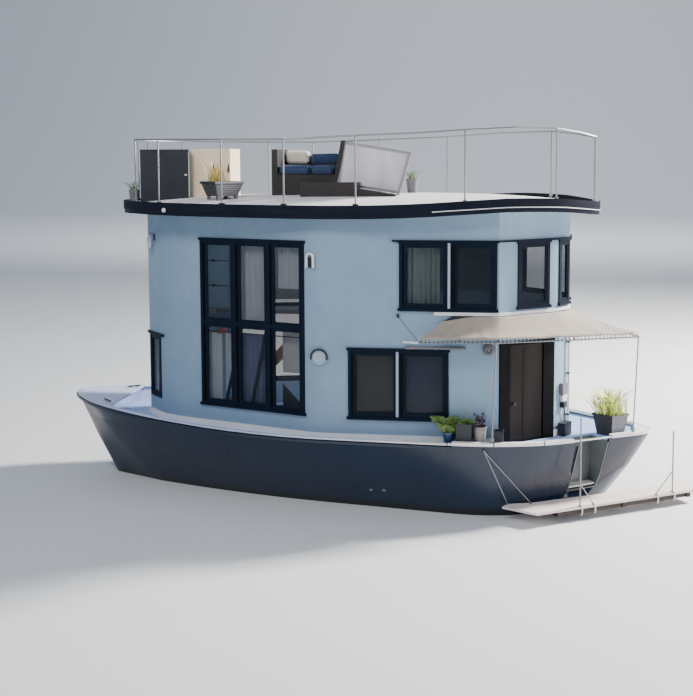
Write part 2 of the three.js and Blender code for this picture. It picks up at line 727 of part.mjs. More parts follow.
// Roof railing: posts on the fascia and a top rail, both sides and round the ends
function roofEdge(x, side, inset) {
  const outline = roofOutline(inset);
  let best = null;
  for (let i = 0; i < outline.length; i++) {
    const a = outline[i];
    const b = outline[(i + 1) % outline.length];
    if ((a[0] - x) * (b[0] - x) <= 0 && Math.sign(a[1] + b[1]) === side && a[0] !== b[0]) {
      const t = (x - a[0]) / (b[0] - a[0]);
      best = [x, a[1] + (b[1] - a[1]) * t];
    }
  }
  return best;
}
// Stations of the rail from the bow aft: [x, 1 where a post stands]
const railPort = [
  [4270, 1], [3628, 1], [2188, 1], [896, 1], [-511, 1], [-1600, 0], [-2552, 1], [-3500, 0], [-4211, 1],
  [-4620, 0], [-4950, 1],
];
const railStarboard = [
  [4051, 1], [3300, 0], [2221, 1], [1237, 1], [-280, 1], [-1804, 1], [-2900, 0], [-4081, 1], [-4620, 0],
  [-4950, 1],
];
const railHighFore = 1250;
const railHighAft = 1310;
function railTop(x) {
  const aft = Math.min(1, Math.max(0, (900 - x) / 1500));
  const tip = Math.min(1, Math.max(0, (-4300 - x) / 650));
  return roofTop + riseAt(x) + railHighFore + (railHighAft - railHighFore) * (aft - tip);
}
{
  const tube = 17;
  const inset = 90;
  const flange = 80;
  const solids = [];
  const flangeWide = 42;
  function bend(x, y, post) {    // a point of the top rail, with a post under it or none
    const foot = roofFoot + riseAt(x);
    if (post) {
      solids.push(rod([x, y, foot], [x, y, railTop(x) - 8], tube - 1));
      solids.push(rod([x, y, foot], [x, y, foot + flange], flangeWide, 10));
    }
    solids.push(turned([[0, -tube], [tube + 1, 0], [0, tube]], x, y, railTop(x), 8));
    return [x, y, railTop(x)];
  }
  const [port, starboard] = [[railPort, 1], [railStarboard, -1]].map(
    ([table, side]) => table.map(([x, post]) => bend(x, roofEdge(x, side, inset)[1], post)));
  const bow = [bend(4500, 280, 1), bend(4500, -280, 1)];    // bows round the locker and its lid
  const loop = [...port.reverse(), ...bow, ...starboard];
  for (let i = 0; i < loop.length; i++) solids.push(rod(loop[i], loop[(i + 1) % loop.length], tube));
  add(roofGroup, 'roof_railing', 'steel', onRoof(solids));
}

// Roof hatch housing with a side door, next to a deck locker with a lid
{
  const h = hatch;
  const sill = roofTop + 175;
  const head = 7048;
  const shell = box(h.x0, h.x1, h.y0, h.y1, roofFoot, head)
    .subtract(box(h.x0 + 32, h.x1 - 32, h.y0 + 32, h.y1 - 32, roofFoot - 50, head - 32))
    .subtract(box(h.x0 + 50, h.x1 - 50, h.y0 - 50, h.y0 + 60, sill, head - 60));
  add(roofGroup, 'hatch_housing', 'wallPaint', onRoof(shell));
  const door = box(h.x0 + 56, h.x1 - 56, h.y0 + 2, h.y0 + 28, sill + 6, head - 66);
  add(roofGroup, 'hatch_door', 'wallPaint', door);
  const long = 980;
  const deep = 620;
  const board = 25;
  const lockerTop = 7005;
  const floor = roofTop + 140;
  const corner = [3280, 620];    // its aft corner on the port side
  const angle = 19.3;            // degrees it is turned in plan
  const placed = (solid) => solid.rotate([0, 0, angle]).translate([corner[0], corner[1], 0]);
  const locker = box(0, long, -deep, 0, roofFoot, lockerTop)
    .subtract(box(board, long - board, board - deep, -board, floor, lockerTop + 100));
  add(roofGroup, 'roof_locker', 'trimPaint', onRoof(placed(locker)));
  const lip = 12;
  const lid = box(-lip, long + lip, -deep - lip, lip, lockerTop + 2, lockerTop + 36);
  add(roofGroup, 'locker_lid', 'trimPaint', placed(lid));
}

// Upright panel in the plane of the boat's length, from [x, z] corners, between two y
function sidePanel(points, y0, y1) {
  const shape = new THREE.Shape(points.map((p) => new THREE.Vector2(p[0], p[1])));
  const g = new THREE.ExtrudeGeometry(shape, { depth: y1 - y0, bevelEnabled: false });
  g.rotateX(Math.PI / 2);
  g.translate(0, y1, 0);
  return toManifold(g);
}

// Settee: base and back with a high fore arm and a leaning end board, and its cushions
{
  const seat = 6520;
  const front = 660;
  const back = -160;
  add(roofGroup, 'bench_frame', 'cabinWood', onRoof([
    box(180, 1380, back, front, roofFoot, seat - 2),
    box(1372, 1490, back, front, roofFoot, 7030),
    box(150, 1380, back, back + 60, roofFoot, 6900),
    sidePanel([[250, 6180], [140, 6180], [-40, 7200], [50, 7200]], back, front),
  ]));
  const seatTop = 6705;
  const middle = 700;
  const y0 = back + 66;
  const y1 = front + 20;
  add(roofGroup, 'seat_cushion_fore', 'navyCloth', box(middle + 2, 1366, y0, y1, seat, seatTop));
  add(roofGroup, 'seat_cushion_aft', 'navyCloth', box(204, middle - 2, y0, y1, seat, seatTop));
  add(roofGroup, 'back_cushion', 'navyCloth', box(204, 820, y0, back + 260, seatTop + 4, 6955));
}

// Tilted framed screen that leans behind a low box
{
  const y0 = 715;
  const y1 = 755;
  const outer = [[127, 6321], [-1156, 6130], [-1391, 6956], [-115, 7171]];
  const inner = [[62, 6366], [-1118, 6190], [-1322, 6918], [-68, 7124]];
  const pane = inner.map(([x, z]) => [x * 0.998, z]);
  add(roofGroup, 'screen_frame', 'trimPaint', onRoof([
    sidePanel(outer, y0, y1).subtract(sidePanel(inner, y0 - 50, y1 + 50)),
    box(-360, 800, y1 - 20, 1060, roofFoot, 6366),
    box(-1140, -1095, y0, y1, roofFoot, 6160),
  ]));
  add(roofGroup, 'screen_pane', 'glass', sidePanel(pane, y0 + 16, y1 - 16)
    .intersect(sidePanel(inner, y0, y1)).intersect(box(-1317, 58, 0, 1000, 6371, 7119)));
}

// Awning over the entrance: cloth, its rafters and two poles
{
  const wall = [
    [-2090, 1763, 3745], [-2690, 1733, 3845], [-3200, 1712, 3850], [-4262, 830, 3850], [-4540, 310, 3845],
  ];
  const edge = [
    [-1730, 2230, 3497], [-2450, 2160, 3503], [-3160, 2085, 3508], [-4600, 1280, 3478], [-5810, 530, 3450],
  ];
  const thick = 10;
  const sag = 60;                // how far the cloth hangs below a straight line from wall to edge
  const sections = wall.map((w, i) => {
    const e = edge[i];
    const middle = w.map((c, k) => (c + e[k]) / 2 - (k === 2 ? sag : 0));
    const over = [w, middle, e];
    return [...over, ...over.map((p) => [p[0], p[1], p[2] - thick]).reverse()];
  });
  add(awningGroup, 'awning_cloth', 'awningCloth', band(sections, false));
  const below = 95;               // the tubes run this far under the cloth's edges
  const lower = edge.map((e) => [e[0], e[1], e[2] - below]);
  const solids = [];
  for (let i = 0; i < lower.length - 1; i++) solids.push(rod(lower[i], lower[i + 1], 15));
  const inner = wall.map((w, i) => w.map((c, k) => c + (edge[i][k] - c) * 0.05 - (k === 2 ? below : 0)));
  for (let i = 0; i < inner.length; i++) solids.push(rod(inner[i], lower[i], 12));
  const knuckle = [[0, -20], [20, -9], [20, 9], [0, 20]];
  for (const p of [...lower, ...inner]) solids.push(turned(knuckle, p[0], p[1], p[2], 8));
  for (let i = 0; i < inner.length - 1; i++) solids.push(rod(inner[i], inner[i + 1], 12));
  const railTop = (x) => sheer(x) + 63;
  for (const pole of [[-3080, 2025, -3158, 2083, 3424], [-5740, 470, -5806, 528, 3376]]) {
    solids.push(rod([pole[0], pole[1], railTop(pole[0])], [pole[2], pole[3], pole[4]], 14));
    solids.push(rod([pole[0], pole[1], railTop(pole[0])], [pole[0], pole[1], railTop(pole[0]) + 8], 32, 16));
  }
  add(awningGroup, 'awning_frame', 'steel', solids);
}

// Boarding platform along the port quarter: planks, bearers, stanchions and stays
const platAlong = [-0.824, -0.566];
const platOut = [-0.566, 0.824];
const platStart = [-3780, 1830];
const platTop = 262;
function platPoint(s, d, z) {
  return [
    platStart[0] + platAlong[0] * s + platOut[0] * d,
    platStart[1] + platAlong[1] * s + platOut[1] * d,
    z,
  ];
}
{
  const top = platTop;
  const outline = [
    [-455, -225], [-271, -335], [178, -205], [1124, -166], [2145, -107], [3700, -107], [3700, 402],
    [-90, 402],
  ].map(([s, d]) => platPoint(s, d, 0).slice(0, 2));
  let deck = prism(ccw(outline), top - 40, top);
  for (const d of [-42, 106, 254]) {
    const groove = [[-400, d - 3], [4000, d - 3], [4000, d + 3], [-400, d + 3]];
    const flat = ccw(groove.map(([s, w]) => platPoint(s, w, 0).slice(0, 2)));
    deck = deck.subtract(prism(flat, top - 9, top + 10));
  }
  add(platformGroup, 'boarding_platform', 'paleWood', deck);
  const low = top - 40 - gap;
  const bearers = [];
  for (const s of [420, 980, 1900, 2800, 3450]) {
    bearers.push(bar(platPoint(s, -150, low - 46), platPoint(s, 392, low - 46), 95, 92));
  }
  bearers.push(bar(platPoint(380, 330, low - 60), platPoint(3500, 330, low - 60), 60, 60));
  add(platformGroup, 'platform_bearers', 'wetWood', bearers);
  const stanchion = (s, high, brace) => [
    rod(platPoint(s, 350, top + gap), platPoint(s, 350, high), 15),
    rod(platPoint(s, 350, top + gap), platPoint(s, 350, top + 14), 36, 16),
    rod(platPoint(s, 350, top + 430), platPoint(s + brace, 350, top + 14), 10),
    rod(platPoint(s + brace, 350, top + gap), platPoint(s + brace, 350, top + 18), 24, 12),
  ];
  add(platformGroup, 'platform_stanchion_fore', 'steel', stanchion(900, 1960, 300));
  add(platformGroup, 'platform_stanchion_aft', 'steel', stanchion(3080, 1480, -400));
}

// Two stays from an eye under the gunwale down to the platform
{
  const eye = [-2940, 2112, 1370];
  const feet = [[-3365, 1745], [-3800, 1620]];
  const stays = [
    turned([[0, -22], [22, -10], [22, 10], [0, 22]], ...eye, 8),
    rod(eye, [eye[0], eye[1] - 120, eye[2]], 14),
  ];
  for (const [x, y] of feet) {
    stays.push(rod(eye, [x, y, platTop + 14], 10));
    stays.push(rod([x, y, platTop + gap], [x, y, platTop + 24], 20));
  }
  const hullSide = hullSolid(0).translate([-gap, 1.5 * gap, 0]);
  add(platformGroup, 'platform_stays', 'steel', Manifold.union(stays).subtract(hullSide));
}

// Bitts on the aft deck
add(hullGroup, 'stern_bitts', 'steel', [
  rod([-5480, 0, deckTop + gap], [-5480, 0, deckTop + 300], 50, 24),
  rod([-5480, -110, deckTop + 220], [-5480, 110, deckTop + 220], 20, 16),
]);

// Planter on the roof, a four-sided tub standing corner on
const tubCorners = [[2420, 1500], [2850, 1150], [2400, 720], [1960, 1050]];
{
  const rim = 6392;
  const outline = (inset) => ccw(offsetOutline(ccw(tubCorners), inset));
  const body = prism(outline(0), rim - 45, rim)
    .add(prism(outline(45), roofFoot, rim - 40));
  const hollow = prism(outline(75), rim - 200, rim + 50);
  add(roofGroup, 'roof_planter', 'greyPlastic', onRoof(body.subtract(hollow)));
}

// Stair from the main cabin to the upper floor
{
  const stair = [];
  for (const y of [-60, 640]) {
    stair.push(bar([2700, y, deckTop + 120], [700, y, floorTop - 60], 45, 180));
  }
  for (let k = 1; k <= 8; k++) {
    const f = k / 9;
    const x = 2700 + (700 - 2700) * f;
    const z = deckTop + 120 + (floorTop - 60 - deckTop - 120) * f;
    stair.push(box(x - 110, x + 110, -40, 620, z - 14, z + 14));
  }
  add(houseGroup, 'inner_stair', 'cabinWood', stair);
}

export default houseboat;
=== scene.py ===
import bmesh
import bpy
import math
import random
from mathutils import Matrix, Vector
from mathutils.bvhtree import BVHTree


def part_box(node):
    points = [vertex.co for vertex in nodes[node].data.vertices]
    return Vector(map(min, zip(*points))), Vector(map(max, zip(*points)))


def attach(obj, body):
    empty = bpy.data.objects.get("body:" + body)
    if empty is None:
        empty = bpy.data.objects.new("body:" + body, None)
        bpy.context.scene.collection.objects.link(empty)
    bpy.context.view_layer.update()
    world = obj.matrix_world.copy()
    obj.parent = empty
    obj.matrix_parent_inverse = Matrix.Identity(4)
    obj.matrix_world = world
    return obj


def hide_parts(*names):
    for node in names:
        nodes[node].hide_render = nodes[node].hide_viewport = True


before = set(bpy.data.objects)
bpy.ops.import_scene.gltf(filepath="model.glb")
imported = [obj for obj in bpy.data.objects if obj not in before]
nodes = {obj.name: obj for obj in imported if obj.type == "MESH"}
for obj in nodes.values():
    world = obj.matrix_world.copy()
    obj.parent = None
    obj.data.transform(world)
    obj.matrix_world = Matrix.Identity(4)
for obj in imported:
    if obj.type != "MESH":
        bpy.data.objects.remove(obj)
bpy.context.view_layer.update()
print("frame loaded:", len(nodes), "nodes")


# Small helpers: nodes, colours, objects

def addNode(tree, kind, sockets=None, **settings):
    made = tree.nodes.new(kind)
    for name, value in settings.items():
        setattr(made, name, value)
    for key, value in (sockets or {}).items():
        if isinstance(value, bpy.types.NodeSocket):
            tree.links.new(value, made.inputs[key])
        else:
            made.inputs[key].default_value = value
    return made


def linear(code, alpha=1.0):  # sRGB hex to linear light
    parts = [int(code[i:i + 2], 16) / 255 for i in (0, 2, 4)]
    return tuple(c / 12.92 if c <= 0.04045 else ((c + 0.055) / 1.055) ** 2.4 for c in parts) + (alpha,)


def addObject(name, data):
    made = bpy.data.objects.new(name, data)
    bpy.context.scene.collection.objects.link(made)
    return made


def settle(piece):  # what the modifiers make becomes the plain mesh
    bpy.context.view_layer.update()
    plain = bpy.data.meshes.new_from_object(piece.evaluated_get(bpy.context.evaluated_depsgraph_get()))
    piece.modifiers.clear()
    piece.data = plain
    return plain


# Shapes: each is a list of points and a list of faces
boxFaces = [(0, 1, 3, 2), (4, 6, 7, 5), (0, 4, 5, 1), (2, 3, 7, 6), (0, 2, 6, 4), (1, 5, 7, 3)]


def rowFaces(rows, across, closed=True):  # skin over rows of points, each row as long as the next
    faces = []
    for i in range(rows - 1):
        for k in range(across if closed else across - 1):
            m = (k + 1) % across
            faces.append((i * across + k, i * across + m, (i + 1) * across + m, (i + 1) * across + k))
    return faces


def tubeShape(points, radius, sides=8, closedEnds=True):
    points = [Vector(p) for p in points]
    verts = []
    side = None
    for i, p in enumerate(points):
        ahead = points[min(i + 1, len(points) - 1)] - points[max(i - 1, 0)]
        ahead.normalize()
        if side is None:
            side = ahead.orthogonal()
        side = (side - ahead * side.dot(ahead)).normalized()
        up = ahead.cross(side)
        for k in range(sides):
            a = 2 * math.pi * k / sides
            verts.append(p + (side * math.cos(a) + up * math.sin(a)) * radius)
    faces = rowFaces(len(points), sides)
    if closedEnds:
        faces.append(tuple(reversed(range(sides))))
        faces.append(tuple(range((len(points) - 1) * sides, len(points) * sides)))
    return verts, faces


def turnedShape(profile, centre, axis=(0, 0, 1), sides=28):  # profile: (radius, height) along the axis
    turn = Vector((0, 0, 1)).rotation_difference(Vector(axis))
    verts = []
    for radius, height in profile:
        for k in range(sides):
            a = 2 * math.pi * k / sides
            p = Vector((radius * math.cos(a), radius * math.sin(a), height))
            verts.append(Vector(centre) + turn @ p)
    faces = rowFaces(len(profile), sides)
    faces.append(tuple(reversed(range(sides))))
    faces.append(tuple(range((len(profile) - 1) * sides, len(profile) * sides)))
    return verts, faces


def boxShape(low, high, turn=0.0):  # upright box, turned about its own centre
    centre = (Vector(low) + Vector(high)) / 2
    spin = Matrix.Rotation(turn, 3, "Z")
    verts = []
    for x in (low[0], high[0]):
        for y in (low[1], high[1]):
            for z in (low[2], high[2]):
                verts.append(centre + spin @ (Vector((x, y, z)) - centre))
    return verts, boxFaces


def prismShape(points, thickness):  # flat outline in space, given its thickness as a vector
    n = len(points)
    verts = [Vector(p) for p in points] + [Vector(p) + Vector(thickness) for p in points]
    faces = [tuple(reversed(range(n))), tuple(range(n, 2 * n))]
    faces += [(i, (i + 1) % n, n + (i + 1) % n, n + i) for i in range(n)]
    return verts, faces


def toStarboard(shape):  # the same on the other side of the boat
    verts, faces = shape
    return [Vector((v[0], -v[1], v[2])) for v in verts], [tuple(reversed(face)) for face in faces]


def makePiece(name, shapes, material, bevel=0.0, smooth=False, mirror=False):
    mesh = bpy.data.meshes.new(name)
    verts, faces = [], []
    if mirror:
        shapes = shapes + [toStarboard(shape) for shape in shapes]
    for points, loops in shapes:
        start = len(verts)
        verts += [tuple(p) for p in points]
        faces += [tuple(start + i for i in loop) for loop in loops]
    mesh.from_pydata(verts, [], faces)
    b = bmesh.new()
    b.from_mesh(mesh)
    bmesh.ops.recalc_face_normals(b, faces=b.faces)
    if bevel:
        sharp = [e for e in b.edges if len(e.link_faces) == 2 and e.calc_face_angle(0) > 0.6]
        bmesh.ops.bevel(b, geom=sharp, offset=bevel, segments=2, affect="EDGES", clamp_overlap=True)
    b.to_mesh(mesh)
    b.free()
    mesh.materials.append(material)
    if smooth:
        mesh.shade_smooth()
        mesh.set_sharp_from_angle(angle=math.radians(40))
    piece = addObject(name, mesh)
    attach(piece, "boat")
    return piece


# Flat faces on the port side, each from its fore end to its after end: the house walls and the roof locker
wallFaces = {
    "bow": ((4.360, 0.200), (3.880, 0.700)),
    "fore": ((3.020, 1.045), (0.450, 1.775)),
    "side": ((0.150, 1.800), (-3.175, 1.640)),
    "quarter": ((-3.175, 1.640), (-4.209, 0.772)),
    "corner": ((-4.209, 0.772), (-4.475, 0.280)),
    "locker": ((4.205, 0.944), (3.280, 0.620)),
}


def onWall(face, along, up, out=0.0):  # metres aft along the face, above the water, and out from the face
    (ax, ay), (bx, by) = wallFaces[face]
    length = math.hypot(bx - ax, by - ay)
    ux, uy = (bx - ax) / length, (by - ay) / length
    return Vector((ax + ux * along + uy * out, ay + uy * along - ux * out, up))


def wallBox(face, s0, s1, z0, z1, d0, d1):  # box against a wall: along it, up, and out from it
    return [onWall(face, s, z, d) for s in (s0, s1) for d in (d0, d1) for z in (z0, z1)], boxFaces


def wallPath(face, points):  # points: (along, up, out)
    return [onWall(face, *point) for point in points]


def arc(centre, radius, start, end, out, steps=14):  # in the plane of a wall, as points for wallPath
    turns = [math.radians(start + (end - start) * k / steps) for k in range(steps + 1)]
    return [(centre[0] + radius * math.cos(a), centre[1] + radius * math.sin(a), out) for a in turns]


# Camera at the photograph's viewing angle
camera = {
    "place": (-4.352, 22.474, 6.808),
    "azimuth": 191.149,
    "pitch": 5.0,
    "roll": -0.26,
    "lens": 57.37,
    "sensor": 36,
    "shiftY": -0.132,
    "reach": 400,
}
eye = addObject("camera", bpy.data.cameras.new("camera"))
eye.location = camera["place"]
heading = math.radians(camera["azimuth"])
tilt = math.radians(camera["pitch"])
looking = Vector((-math.sin(heading) * math.cos(tilt), math.cos(heading) * math.cos(tilt), -math.sin(tilt)))
turn = looking.to_track_quat("-Z", "Y").to_matrix() @ Matrix.Rotation(math.radians(camera["roll"]), 3, "Z")
eye.rotation_euler = turn.to_euler()
eye.data.sensor_fit = "HORIZONTAL"
eye.data.sensor_width = camera["sensor"]
eye.data.lens = camera["lens"]
eye.data.shift_y = camera["shiftY"]
eye.data.clip_end = camera["reach"]
bpy.context.scene.camera = eye
print("camera set")


# Finishes

def startFinish(name, colour, roughness, metallic=0.0, ior=1.5):
    material = bpy.data.materials.new(name)
    material.use_nodes = True
    tree = material.node_tree
    shader = tree.nodes["Principled BSDF"]
    shader.inputs["Base Color"].default_value = linear(colour)
    shader.inputs["Roughness"].default_value = roughness
    shader.inputs["Metallic"].default_value = metallic
    if not metallic:
        shader.inputs["IOR"].default_value = ior
    place = addNode(tree, "ShaderNodeTexCoord").outputs["Object"]
    return material, tree, shader, place


# From one colour to another as a value runs from low to high; least and most are the second one's share
def blend(tree, value, first, second, low=0.0, high=1.0, least=0.0, most=1.0):
    first = linear(first) if isinstance(first, str) else first
    second = linear(second) if isinstance(second, str) else second
    share = addNode(tree, "ShaderNodeMapRange", {
        "Value": value, "From Min": low, "From Max": high, "To Min": least, "To Max": most}).outputs[0]
    return addNode(tree, "ShaderNodeMix", {0: share, 6: first, 7: second}, data_type="RGBA").outputs[2]


# Brushed, rolled or sprayed paint: slow patches of tone, fine grain in the relief, gloss that varies a little
# Patch, grain and depth are in metres, and stretch pulls the patches along an axis
def paintFinish(name, tones, patch, roughness, grain, depth, stretch=(1, 1, 1), coat=0.0):
    material, tree, shader, place = startFinish(name, tones[0], roughness)
    slid = addNode(tree, "ShaderNodeMapping", {"Vector": place, "Scale": stretch}).outputs[0]
    slow = addNode(tree, "ShaderNodeTexNoise", {
        "Vector": slid, "Scale": 1 / patch, "Detail": 5.0, "Roughness": 0.62}).outputs[0]
    tone = blend(tree, slow, tones[0], tones[1], 0.3, 0.72)
    tree.links.new(tone, shader.inputs["Base Color"])
    gloss = addNode(tree, "ShaderNodeMapRange", {
        "Value": slow, "From Min": 0.3, "From Max": 0.7,
        "To Min": roughness * 0.8, "To Max": roughness * 1.25})
    tree.links.new(gloss.outputs[0], shader.inputs["Roughness"])
    fine = addNode(tree, "ShaderNodeTexNoise", {"Vector": place, "Scale": 1 / grain, "Detail": 3.0})
    relief = addNode(tree, "ShaderNodeBump", {"Height": fine.outputs[0], "Distance": depth, "Strength": 0.6})
    tree.links.new(relief.outputs[0], shader.inputs["Normal"])
    if coat:
        shader.inputs["Coat Weight"].default_value = coat
        shader.inputs["Coat Roughness"].default_value = 0.12
    return material, tree, shader, place, tone


# Marine enamel on steel, sprayed: dark slate, glossy, dulled and stained near the water
slateEnamel = (("0b1a30", "10233b"), 1.6, 0.3, 0.5, 0.004, (1, 1, 0.35), 0.12)
hullEnamel, tree, shader, place, tone = paintFinish("hull_marine_enamel", *slateEnamel)
height = addNode(tree, "ShaderNodeSeparateXYZ", {"Vector": place}).outputs["Z"]
streakPlace = addNode(tree, "ShaderNodeMapping", {"Vector": place, "Scale": (9.0, 9.0, 0.5)}).outputs[0]
streaks = addNode(tree, "ShaderNodeTexNoise", {"Vector": streakPlace, "Scale": 1.0, "Detail": 4.0}).outputs[0]
washed = blend(tree, streaks, tone, "2c3843", 0.56, 0.8, 0.0, 0.3)  # dried run-off
ragged = addNode(tree, "ShaderNodeMath", {0: streaks, 1: 0.14}, operation="MULTIPLY").outputs[0]
overWater = addNode(tree, "ShaderNodeMath", {0: height, 1: ragged}, operation="SUBTRACT").outputs[0]
scum = blend(tree, overWater, washed, "0d1512", 0.0, 0.11, 0.85, 0.0)  # wet weed line
tree.links.new(scum, shader.inputs["Base Color"])

# The bulwark wears it outside and pale deck enamel inside, told apart by the way each face looks,
# and its lining is painted near black aft of the recess: painted shade for the shadow that falls there
bulwarkEnamel, tree, shader, place, tone = paintFinish("bulwark_marine_enamel", *slateEnamel)
facing = addNode(tree, "ShaderNodeNewGeometry").outputs["Normal"]
outward = addNode(tree, "ShaderNodeVectorMath", {0: facing, 1: place}, operation="DOT_PRODUCT")
inner = addNode(tree, "ShaderNodeMath", {0: outward.outputs["Value"], 1: 0.35}, operation="LESS_THAN")
alongX = addNode(tree, "ShaderNodeSeparateXYZ", {"Vector": place}).outputs["X"]
foreOfRecess = addNode(tree, "ShaderNodeMath", {0: alongX, 1: -4.2}, operation="GREATER_THAN").outputs[0]
# painted shade: the lining aft of the recess is near black for the shadow there
liningWithPaintedShade = blend(tree, foreOfRecess, "1b2028", "a9b7dc")
tree.links.new(blend(tree, inner.outputs[0], tone, liningWithPaintedShade), shader.inputs["Base Color"])

# Gloss deck enamel on steel and timber, brushed: bright white with grey scuffs
whiteEnamel = paintFinish("white_deck_enamel", ("eceae8", "dcdad8"), 0.45, 0.42, 0.012, 0.0006)[0]

# The same on the cap rail: dark butt joints drawn wider than life so that they show, painted shade forward as a
# bluer tint, and black paint on the bow cleats, which are what stands over the sheer line forward
capRail = {
    "joints": (-3.12, -4.05, -2.25, 1.9),
    "halfJoint": 0.011,
    "sheerHalf": 6.1,
    "sheerRise": 0.29,
    "sheerLow": 1.47,
    "cleatsOver": 0.036,
    "cleatsFrom": 4.8,
    "paintedShadeFrom": -1.5,
    "paintedShadeTo": 1.5,
}
railEnamel, tree, shader, place, tone = paintFinish(
    "white_rail_enamel", ("f2efed", "dedbd9"), 0.3, 0.35, 0.02, 0.0006)
parts = addNode(tree, "ShaderNodeSeparateXYZ", {"Vector": place}).outputs
for joint in capRail["joints"]:
    near = addNode(tree, "ShaderNodeMath", {0: parts["X"], 1: joint, 2: capRail["halfJoint"]},
                   operation="COMPARE")
    tone = blend(tree, near.outputs[0], tone, "3a3e46")
share = addNode(tree, "ShaderNodeMath", {0: parts["X"], 1: 1 / capRail["sheerHalf"]}, operation="MULTIPLY")
square = addNode(tree, "ShaderNodeMath", {0: share.outputs[0], 1: share.outputs[0]}, operation="MULTIPLY")
sheer = addNode(tree, "ShaderNodeMath", {
    0: square.outputs[0], 1: capRail["sheerRise"], 2: capRail["sheerLow"]}, operation="MULTIPLY_ADD")
over = addNode(tree, "ShaderNodeMath", {0: parts["Z"], 1: sheer.outputs[0]}, operation="SUBTRACT")
high = addNode(tree, "ShaderNodeMath", {0: over.outputs[0], 1: capRail["cleatsOver"]}, operation="GREATER_THAN")
forward = addNode(tree, "ShaderNodeMath", {0: parts["X"], 1: capRail["cleatsFrom"]}, operation="GREATER_THAN")
cleats = addNode(tree, "ShaderNodeMath", {0: high.outputs[0], 1: forward.outputs[0]}, operation="MULTIPLY")
# painted shade: the rail turns bluer forward, where it lies in shade
paintedShadeForward = blend(tree, parts["X"], tone, "a3b0dc", capRail["paintedShadeFrom"], capRail["paintedShadeTo"], 0.0, 0.75)
tree.links.new(blend(tree, cleats.outputs[0], paintedShadeForward, "15181d"), shader.inputs["Base Color"])

# Non-slip deck paint with sand in it, and the dark cleats that stand on the same piece
cleatFoot = 1.3825
deckFinish, tree, shader, place, tone = paintFinish(
    "sanded_deck_paint", ("9bb2de", "8ea5d2"), 0.5, 0.6, 0.006, 0.0012)
height = addNode(tree, "ShaderNodeSeparateXYZ", {"Vector": place}).outputs["Z"]
raised = addNode(tree, "ShaderNodeMath", {0: height, 1: cleatFoot}, operation="GREATER_THAN").outputs[0]
tree.links.new(blend(tree, raised, tone, "15181d"), shader.inputs["Base Color"])

# House sides: rolled acrylic on plywood, soft sheen, faint rain marks that run down
wallPaint, tree, shader, place, tone = paintFinish(
    "rolled_wall_paint", ("849cb1", "7a92aa"), 1.1, 0.55, 0.004, 0.0007)
rainPlace = addNode(tree, "ShaderNodeMapping", {"Vector": place, "Scale": (5.0, 5.0, 0.22)}).outputs[0]
rain = addNode(tree, "ShaderNodeTexNoise", {"Vector": rainPlace, "Scale": 1.0, "Detail": 5.0}).outputs[0]
tree.links.new(blend(tree, rain, tone, "728899", 0.52, 0.78, 0.0, 0.3), shader.inputs["Base Color"])

# Plain paints: brushed exterior paint on timber and iron, near black and dead flat
fasciaPaint = paintFinish("charcoal_edge_paint", ("0f141f", "161b29"), 0.7, 0.5, 0.02, 0.0008, (1, 1, 4))[0]
framePaint = paintFinish("navy_frame_paint", ("07121f", "0b1a2b"), 0.35, 0.5, 0.012, 0.0006)[0]
darkIron = paintFinish("black_iron_enamel", ("0f1114", "191c20"), 0.12, 0.45, 0.008, 0.0006)[0]
doorPaint = paintFinish("umber_door_paint", ("2e2826", "26201f"), 0.5, 0.5, 0.006, 0.0008, (1, 1, 0.2))[0]
doorTrim = paintFinish("black_door_trim", ("050608", "090a0d"), 0.4, 0.6, 0.008, 0.0006)[0]
for flat in (framePaint, doorPaint, doorTrim, fasciaPaint):  # aged, so they hardly mirror the sky
    flat.node_tree.nodes["Principled BSDF"].inputs["Specular IOR Level"].default_value = 0.1

# Paler ones, brushed or rolled: soft sheen, patches where they have faded
recessPaint = paintFinish("recess_enamel", ("686e6e", "575d5d"), 0.5, 0.4, 0.02, 0.0008)[0]
roofPaint = paintFinish("sanded_roof_paint", ("e6e4e2", "d4d3d2"), 0.6, 0.62, 0.006, 0.0014)[0]
beigePanel = paintFinish("beige_panel_paint", ("f4dec4", "e9d2b6"), 0.4, 0.55, 0.01, 0.0008)[0]
cabinGrey = paintFinish("grey_sole_paint", ("62676d", "565b61"), 0.4, 0.6, 0.006, 0.0004)[0]
ventPaint = paintFinish("vent_enamel", ("a4b0c0", "97a4b6"), 0.1, 0.4, 0.003, 0.0003)[0]
creamPaint = paintFinish("cream_board_paint", ("e6e6e6", "d4d6d8"), 0.4, 0.6, 0.006, 0.0004)[0]

# Moulded, glazed and laminated things: an even colour, sharp or dull gloss
coralShade = paintFinish("coral_lamp_shade", ("c8604a", "b5513d"), 0.2, 0.6, 0.004, 0.0004)[0]
laminate = paintFinish("dark_laminate", ("12151f", "191d28"), 0.8, 0.5, 0.008, 0.0006, (1, 1, 0.3))[0]
potGlaze = paintFinish(
    "cobalt_pot_glaze", ("31496f", "22365a"), 0.08, 0.16, 0.004, 0.0006, (1, 1, 0.4), 0.6)[0]
paleClay = paintFinish("pale_clay", ("958e8b", "7f7977"), 0.06, 0.8, 0.004, 0.001)[0]
darkResin = paintFinish("charcoal_pot_resin", ("24262a", "2f3237"), 0.2, 0.5, 0.003, 0.0006)[0]
greyResin = paintFinish("grey_pot_resin", ("77757a", "67646a"), 0.2, 0.55, 0.003, 0.0006)[0]
creamPlastic = paintFinish("ivory_plastic", ("e4e2dc", "d6d4cd"), 0.1, 0.35, 0.003, 0.0003)[0]
pottingSoil = paintFinish("potting_soil", ("2b211a", "3c3027"), 0.03, 0.95, 0.006, 0.006)[0]

# Close-woven blind cloth: matt, with no thread large enough to show
oliveBlind = paintFinish("olive_blind_cloth", ("4a4c45", "3b3e39"), 0.3, 0.85, 0.004, 0.0006)[0]
greyBlind = paintFinish("grey_blind_cloth", ("6b7375", "5d6466"), 0.3, 0.85, 0.004, 0.0006)[0]
violetBlind = paintFinish("violet_blind_cloth", ("333a5c", "262c48"), 0.3, 0.85, 0.004, 0.0006)[0]

